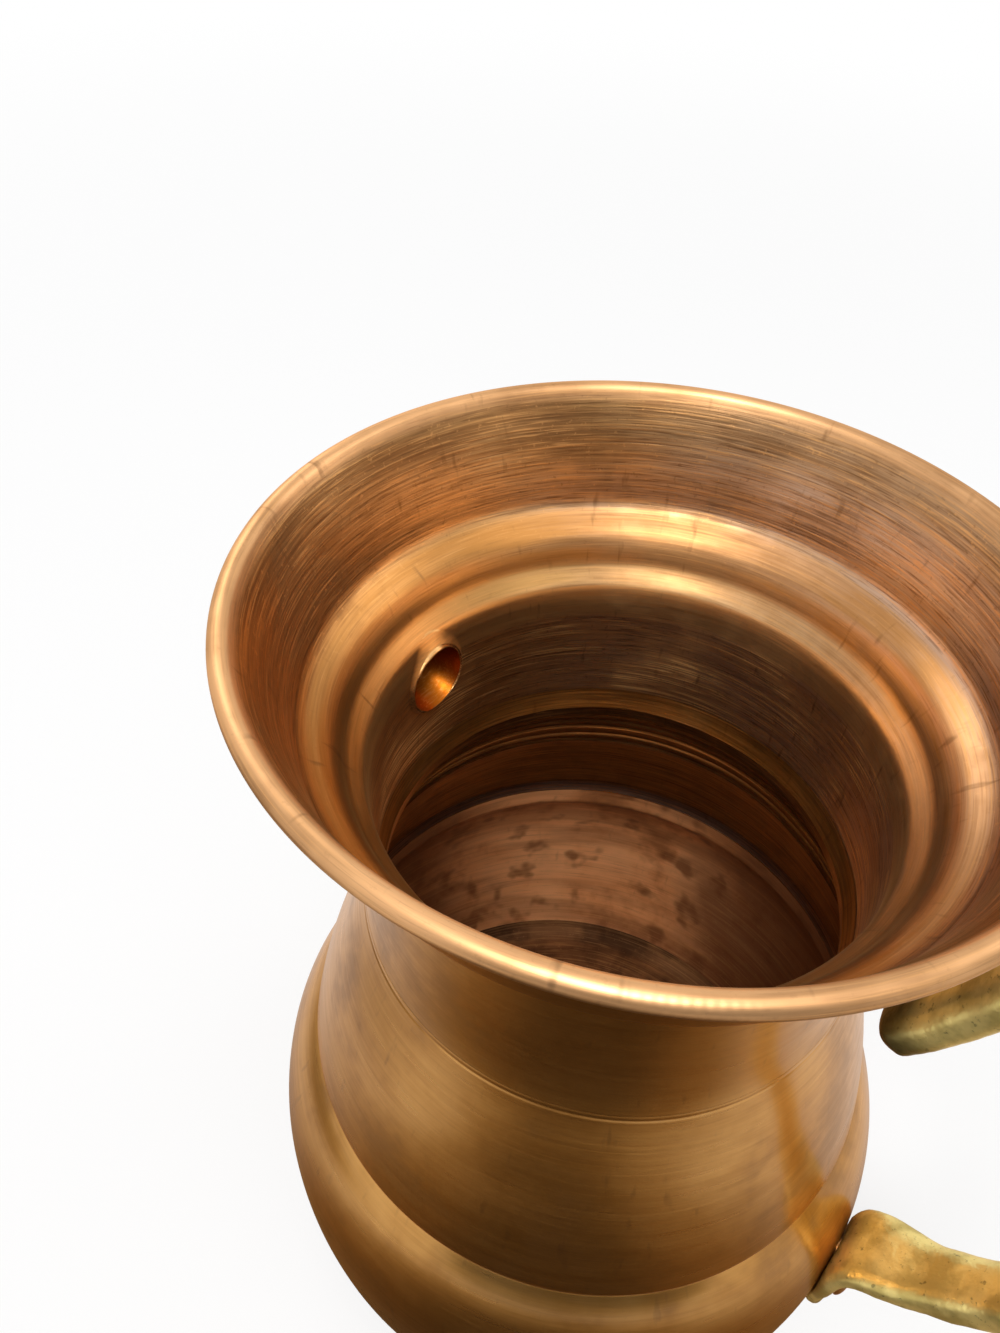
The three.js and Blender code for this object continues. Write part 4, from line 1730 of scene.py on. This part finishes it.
@dataclass
class Rivet:
    """Copper rivet along X, with a hammered dome outside and a spread tail inside."""

    name: str
    height: float
    head_face: float
    tail_face: float
    radius: float = 2.0
    head_radius: float = 4.0
    head_height: float = 1.8
    tail_height: float = 1.0
    tail_radii: tuple[float, float] = (1.2, 1.6)
    hammer_depth: float = 0.12
    hammer_inset: float = 1.2
    sides: int = 40

    def build(self) -> bpy.types.Object:
        """Turns the rivet and lays it along X.

        Returns:
            The new piece.
        """
        dome = arc((0, self.head_face), self.head_radius, self.head_height, 0, 90, 10)
        tail_end = self.tail_face - self.tail_height
        small, large = (share * self.radius for share in self.tail_radii)
        tail = [[0, tail_end], [small, tail_end], [large, self.tail_face]]
        loop = np.vstack((tail, [[self.radius, self.tail_face], [self.radius, self.head_face]], dome))
        loop[-1, 0] = 0.0
        piece = turned(self.name, loop, self.sides, self.wobble)
        lay = Matrix(((0, 0, 1, 0), (0, 1, 0, 0), (-1, 0, 0, self.height * MM), (0, 0, 0, 1)))
        piece.data.transform(lay)
        return piece

    def wobble(self, turn: Points, radius: Points, height: Points) -> Points:
        """Gives the dome's hammered edge.

        Args:
            turn: Angles round the rivet.
            radius: Radii of the same points.
            height: Their places along the rivet.

        Returns:
            The change of radius at each point.
        """
        waves = ((3, 0.5, self.height), (5, 0.4, 0.4 * self.height), (8, 0.3, 1.0))
        marks = ripple(turn, waves) - self.hammer_inset
        return np.where(height >= self.head_face, self.hammer_depth * marks * radius / self.head_radius, 0.0)


# Studio

class Surface(Enum):
    """Colour of a studio card."""

    DARK = (0.12, 0.12, 0.12)
    GREY = (0.45, 0.45, 0.45)
    WOOD = (0.19, 0.105, 0.03)


@dataclass(frozen=True)
class Lamp:
    """Soft box that points at the pitcher."""

    name: str
    azimuth: float
    elevation: float
    distance: float
    size: tuple[float, float]
    watts: float

    def build(self, target: Vector) -> bpy.types.Object:
        """Hangs the lamp.

        Args:
            target: Point that it lights, in metres.

        Returns:
            The lamp's object.
        """
        data = bpy.data.lights.new(self.name, "AREA")
        data.shape = "RECTANGLE"
        data.size, data.size_y = self.size
        data.energy = self.watts
        lamp = placed(self.name, data)
        lamp.location = target + round_point(self.azimuth, self.elevation, self.distance)
        lamp.rotation_euler = (target - lamp.location).to_track_quat("-Z", "Y").to_euler()
        return lamp


@dataclass(frozen=True)
class Card:
    """Studio card, upright or on the floor, that the metal mirrors and the camera doesn't see."""

    name: str
    azimuth: float
    elevation: float
    distance: float
    size: tuple[float, float]
    surface: Surface = Surface.DARK
    lying: bool = False
    lift: float = 0.0004
    # Painted shadow: a lying card is darkest near the pitcher, and only reflections show it.
    shadow_middle: tuple[float, float, float, float] = (0.2, 0.6, 0.2, 1.0)
    faded_edge: tuple[float, float, float, float] = (0.5, 1.0, 1.0, 0.0)

    def build(self, target: Vector) -> bpy.types.Object:
        """Stands the card, or lays it on the floor.

        Args:
            target: Point that it faces, in metres.

        Returns:
            The card's object.
        """
        card = flat_sheet(self.name, *self.size)
        if self.lying:
            card.location = round_point(self.azimuth, 0, self.distance) + Vector((0, 0, self.lift))
            card.rotation_euler = (0, 0, math.radians(PhotoCamera.azimuth + self.azimuth))
            card.visible_shadow = False
            card.visible_diffuse = False
        else:
            card.location = target + round_point(self.azimuth, self.elevation, self.distance)
            card.rotation_euler = (target - card.location).to_track_quat("Z", "Y").to_euler()
        card.visible_camera = False
        graph = Graph(self.name)
        graph.paint(Base_Color=self.surface.value, Roughness=1.0)
        if self.lying:
            self.soften(graph)
        card.data.materials.append(graph.material)
        return card

    def soften(self, graph: Graph) -> None:
        """Darkens the middle of a lying card as a painted shadow near the pitcher, and fades its edges out.

        Args:
            graph: The graph of the card's paint.
        """
        spread = graph.vector("MULTIPLY", graph.place(), (2 / self.size[0], 2 / self.size[1], 0)).outputs[0]
        reach = graph.vector("LENGTH", spread).outputs["Value"]
        tint = graph.node("VectorMath", {"operation": "SCALE"}, Vector=self.surface.value,
                          Scale=graph.fade(reach, *self.shadow_middle))
        graph.paint(Base_Color=tint.outputs[0], Alpha=graph.fade(reach, *self.faded_edge))


def flat_sheet(name: str, wide: float, deep: float) -> bpy.types.Object:
    """Makes a flat sheet of the stage, in metres, with its middle at its origin.

    Args:
        name: Name of the sheet.
        wide: Its size along X.
        deep: Its size along Y.

    Returns:
        The new object.
    """
    x, y = wide / 2, deep / 2
    mesh = bpy.data.meshes.new(name)
    mesh.from_pydata([(-x, -y, 0), (x, -y, 0), (x, y, 0), (-x, y, 0)], [], [(0, 1, 2, 3)])
    return placed(name, mesh)


def round_point(azimuth: float, elevation: float, distance: float) -> Vector:
    """Gives a point round the origin.

    Args:
        azimuth: Angle from the camera's side, anticlockwise, in degrees.
        elevation: Angle above the floor, in degrees.
        distance: Distance from the origin.

    Returns:
        The point.
    """
    turn = math.radians(PhotoCamera.azimuth - 90 + azimuth)
    rise = math.radians(elevation)
    return distance * Vector((math.cos(rise) * math.cos(turn), math.cos(rise) * math.sin(turn), math.sin(rise)))


@dataclass
class PhotoCamera:
    """The camera that took the photograph, found from the rim and the rings inside."""

    azimuth: float = 25.0
    elevation: float = 38.98
    distance: float = 156.3
    yaw: float = -8.00
    pitch: float = 4.80
    roll: float = -10.30
    focal_pixels: float = 1060.5
    picture_height: float = 1333.0
    sensor: float = 36.0
    target_height: float = 175.65

    def build(self) -> bpy.types.Object:
        """Makes the camera and sets it as the scene's.

        Returns:
            The camera's object.
        """
        rise, turn = math.radians(self.elevation), math.radians(self.azimuth)
        back = Vector((0, -math.cos(rise), math.sin(rise)))
        right = Vector((1, 0, 0))
        stand = Matrix((right, back.cross(right), back))
        yaw, pitch, roll = (math.radians(angle) for angle in (self.yaw, self.pitch, self.roll))
        aim = Matrix.Rotation(roll, 3, "Z") @ Matrix.Rotation(pitch, 3, "X") @ Matrix.Rotation(yaw, 3, "Y")
        view = aim @ stand
        around = Matrix.Rotation(turn, 3, "Z")
        place = around @ (back * self.distance) + Vector((0, 0, self.target_height))
        data = bpy.data.cameras.new("photo_camera")
        data.sensor_width = self.sensor
        data.lens = self.focal_pixels / self.picture_height * self.sensor
        data.clip_start = 0.005
        camera = placed("photo_camera", data)
        camera.matrix_world = Matrix.Translation(place * MM) @ (around @ view.transposed()).to_4x4()
        bpy.context.scene.camera = camera
        return camera


@dataclass
class Studio:
    """Pale floor, white surroundings, soft boxes, and cards for the room and the table that the metal mirrors."""

    floor_size: float = 60.0
    floor_tone: float = 0.86
    white_share: float = 0.75
    shaded_reach: tuple[float, float] = (0.2, 1.2)
    surround: float = 0.4
    target_height: float = 0.11
    lamps: tuple[Lamp, ...] = (
        Lamp("top_box", 20, 64, 1.0, (1.4, 1.1), 5.0),
        Lamp("mouth_box", 0, 57, 1.0, (0.3, 0.3), 5.4),
        Lamp("right_box", 122, 34, 1.0, (0.5, 0.6), 1.7),
        Lamp("back_box", -135, 38, 1.1, (0.6, 0.5), 2.4),
    )
    cards: tuple[Card, ...] = (
        Card("camera_card", 12, 8, 0.55, (0.8, 0.7)),
        Card("side_card", 90, 8, 0.8, (0.7, 0.24), Surface.GREY),
        Card("table_card", 2, 0, 0.13, (0.34, 0.52), Surface.WOOD, lying=True),
        Card("left_table_card", -80, 0, 0.30, (0.40, 0.34), Surface.WOOD, lying=True),
    )

    def build(self) -> None:
        """Sets the stage."""
        scene = bpy.context.scene
        scene.view_settings.view_transform = "Standard"
        target = Vector((0, 0, self.target_height))
        self.build_world(scene)
        self.build_floor()
        for lamp in self.lamps:
            lamp.build(target)
        for card in self.cards:
            card.build(target)

    def build_world(self, scene: bpy.types.Scene) -> None:
        """Makes the white surroundings.

        Args:
            scene: The scene that they belong to.
        """
        world = bpy.data.worlds.new("studio")
        scene.world = world
        world.use_nodes = True
        tree = world.node_tree
        soft = tree.nodes["Background"]
        white = tree.nodes.new("ShaderNodeBackground")
        for light, strength in ((soft, self.surround), (white, 1.0)):
            light.inputs["Color"].default_value = (1, 1, 1, 1)
            light.inputs["Strength"].default_value = strength
        seen_directly(tree, soft.outputs[0], white.outputs[0], tree.nodes["World Output"].inputs["Surface"])

    def build_floor(self) -> None:
        """Makes the floor, white where the camera or the metal sees it and shaded under the pitcher."""
        floor = flat_sheet("studio_floor", self.floor_size, self.floor_size)
        graph = Graph("studio_floor")
        graph.paint(Base_Color=(self.floor_tone,) * 3, Roughness=0.9, Specular_IOR_Level=0.0)
        reach = graph.vector("LENGTH", graph.place()).outputs["Value"]
        shown = graph.node("MixShader", Fac=graph.fade(reach, *self.shaded_reach, self.white_share, 1.0))
        graph.feed(shown.inputs[1], graph.shader.outputs[0])
        graph.feed(shown.inputs[2], graph.node("Emission", Strength=1.0).outputs[0])
        seen_directly(graph.tree, graph.shader.outputs[0], shown.outputs[0],
                      graph.tree.nodes["Material Output"].inputs["Surface"])
        floor.data.materials.append(graph.material)


def seen_directly(tree: bpy.types.NodeTree, plain: Socket, shown: Socket, result: Socket) -> None:
    """Shows one shader to camera, glossy and transmitted rays and another to the rest.

    Args:
        tree: The node tree.
        plain: Shader for all other rays.
        shown: Shader for rays that see it.
        result: Socket that takes the mix.
    """
    path = tree.nodes.new("ShaderNodeLightPath")
    share: Socket = path.outputs["Is Camera Ray"]
    for name in ("Is Glossy Ray", "Is Transmission Ray"):
        larger = tree.nodes.new("ShaderNodeMath")
        larger.operation = "MAXIMUM"
        tree.links.new(share, larger.inputs[0])
        tree.links.new(path.outputs[name], larger.inputs[1])
        share = larger.outputs[0]
    mix = tree.nodes.new("ShaderNodeMixShader")
    tree.links.new(share, mix.inputs[0])
    tree.links.new(plain, mix.inputs[1])
    tree.links.new(shown, mix.inputs[2])
    tree.links.new(mix.outputs[0], result)


# The pitcher

@dataclass
class Pitcher:
    """All the pieces, built in the order in which a smith would join them."""

    sizes: BodySizes = SIZES
    cup: BellyCup = field(default_factory=BellyCup)
    shoulder: ShoulderShell = field(default_factory=ShoulderShell)
    mouth: MouthShell = field(default_factory=MouthShell)
    spout: Spout = field(default_factory=Spout)
    handle: Handle = field(default_factory=Handle)
    run_lift: float = 0.05
    run_gap: float = 0.02
    waist_run: float = 4.6
    belly_run: float = 2.6
    belly_run_gap: float = 0.08
    braze: SpunCopper = SpunCopper(
        "braze", bright=(0.62, 0.35, 0.10), brown=(0.42, 0.21, 0.055), anisotropy=0.2, seed=1.3)
    solder: SpunCopper = SpunCopper(
        "solder", bright=(0.52, 0.39, 0.30), brown=(0.30, 0.20, 0.14), anisotropy=0.0, seed=3.7)
    wire: SpunCopper = SpunCopper("wire_copper", anisotropy=0.0, seed=2.2)
    rivets: SpunCopper = SpunCopper("rivet_copper", anisotropy=0.0, line_depth=0.0, streaks=0.2)

    def build(self) -> None:
        """Builds and dresses every piece."""
        self.build_body()
        self.build_spout()
        self.build_handle()

    def build_body(self) -> None:
        """Builds the shells of the body and the brazed seams, and gives the rim wire from the frame its finish."""
        sizes = self.sizes
        cup_metal = self.cup.finish.make()
        dress(coat(self.cup.build(), cup_metal, self.cup.lining.make()), "belly_copper", "belly_cup")
        dress(coat(self.cup.build_base(), cup_metal, self.cup.floor_lining.make()), "belly_copper", "base_pan")
        dress(self.shoulder.build(), "shoulder_copper", "shoulder_shell")
        collar = sizes.waist_radius - 2 * sizes.sheet - sizes.gap
        collar_top = sizes.waist_height + sizes.waist_lap + self.run_lift
        waist = BrazeRing("waist_braze_run", "waist_braze_ring",
                          (sizes.neck_foot[0] + self.run_gap, collar_top + self.waist_run),
                          (collar - self.run_gap, collar_top))
        lap_top = sizes.oval_height(sizes.seam_radius - sizes.sheet - sizes.gap) + sizes.seam_lap + self.run_lift
        lap_edge = self.cup.collar_radius() - sizes.sheet
        belly_top = lap_top + self.belly_run
        belly = BrazeRing("belly_braze_run", "belly_braze_ring",
                          (self.shoulder.inside_at(belly_top) - self.belly_run_gap, belly_top),
                          (lap_edge - self.run_gap, lap_top))
        for seam, metal in ((waist, self.braze), (belly, self.solder)):
            dress(coat(seam.build(), metal.make()), "braze", seam.node)
        repaint("rim_wire", self.wire.make())

    def build_spout(self) -> None:
        """Builds the mouth shell, drills it and fits the spout."""
        shell = self.mouth.build()
        flange = coat(self.spout.build_flange(shell), self.spout.finish.make(), shell.data.materials[1])
        dress(flange, "spout_copper", "spout_flange")
        carve(shell, self.spout.build_drill())
        dress(shell, "mouth_copper", "mouth_shell")
        dress(self.spout.build_tube(), "spout_copper", "spout_tube")

    def build_handle(self) -> None:
        """Builds the handle, its lug and its rivets."""
        handle, sizes = self.handle, self.sizes
        # The casting is darkened round the tip as painted shade.
        tip = handle.arm(-handle.tip_drop, handle.tip_curl) * MM
        finish = replace(handle.finish, shaded_end=(tip[0], 0.0, tip[1])).make()
        dress(coat(handle.build(), finish), "cast_brass", "handle")
        dress(coat(handle.build_lug(), finish), "cast_brass", "handle_lug")
        pad_face = handle.pad_radius + handle.pad_thickness / 2 + sizes.gap
        metal = self.rivets.make()
        for end, lift in (("top", 0.5), ("bottom", -0.5)):
            node = f"lower_rivet_{end}"
            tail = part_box(node)[0].x / MM + 1
            rivet = Rivet(f"{node}_hammered", sizes.belly_height + lift * handle.rivet_spacing, pad_face, tail)
            dress(coat(rivet.build(), metal), "rivet_copper", node)
            repaint(f"lower_rove_{end}", metal)


def repaint(node: str, finish: bpy.types.Material) -> None:
    """Gives a piece kept from the frame its finish.

    Args:
        node: The piece's node.
        finish: Its material.
    """
    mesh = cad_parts[node].data
    mesh.materials.clear()
    mesh.materials.append(finish)
    log.info("%s: kept from the frame", node)


def carve(body: bpy.types.Object, tool: bpy.types.Object) -> None:
    """Cuts one object's shape out of another and removes the tool.

    Args:
        body: The object that is cut.
        tool: The object that is cut out of it.
    """
    cut = body.modifiers.new("cut", "BOOLEAN")
    cut.operation = "DIFFERENCE"
    cut.solver = "EXACT"
    cut.object = tool
    graph = bpy.context.evaluated_depsgraph_get()
    mesh = bpy.data.meshes.new_from_object(body.evaluated_get(graph))
    body.modifiers.clear()
    old = body.data
    body.data = mesh
    mesh.name = old.name
    bpy.data.meshes.remove(old)
    bpy.data.objects.remove(tool)


def main() -> None:
    """Builds the pitcher, the camera and the studio."""
    logging.basicConfig(level=logging.INFO, format="%(message)s")
    PhotoCamera().build()
    Pitcher().build()
    Studio().build()


if __name__ == "__main__":
    main()
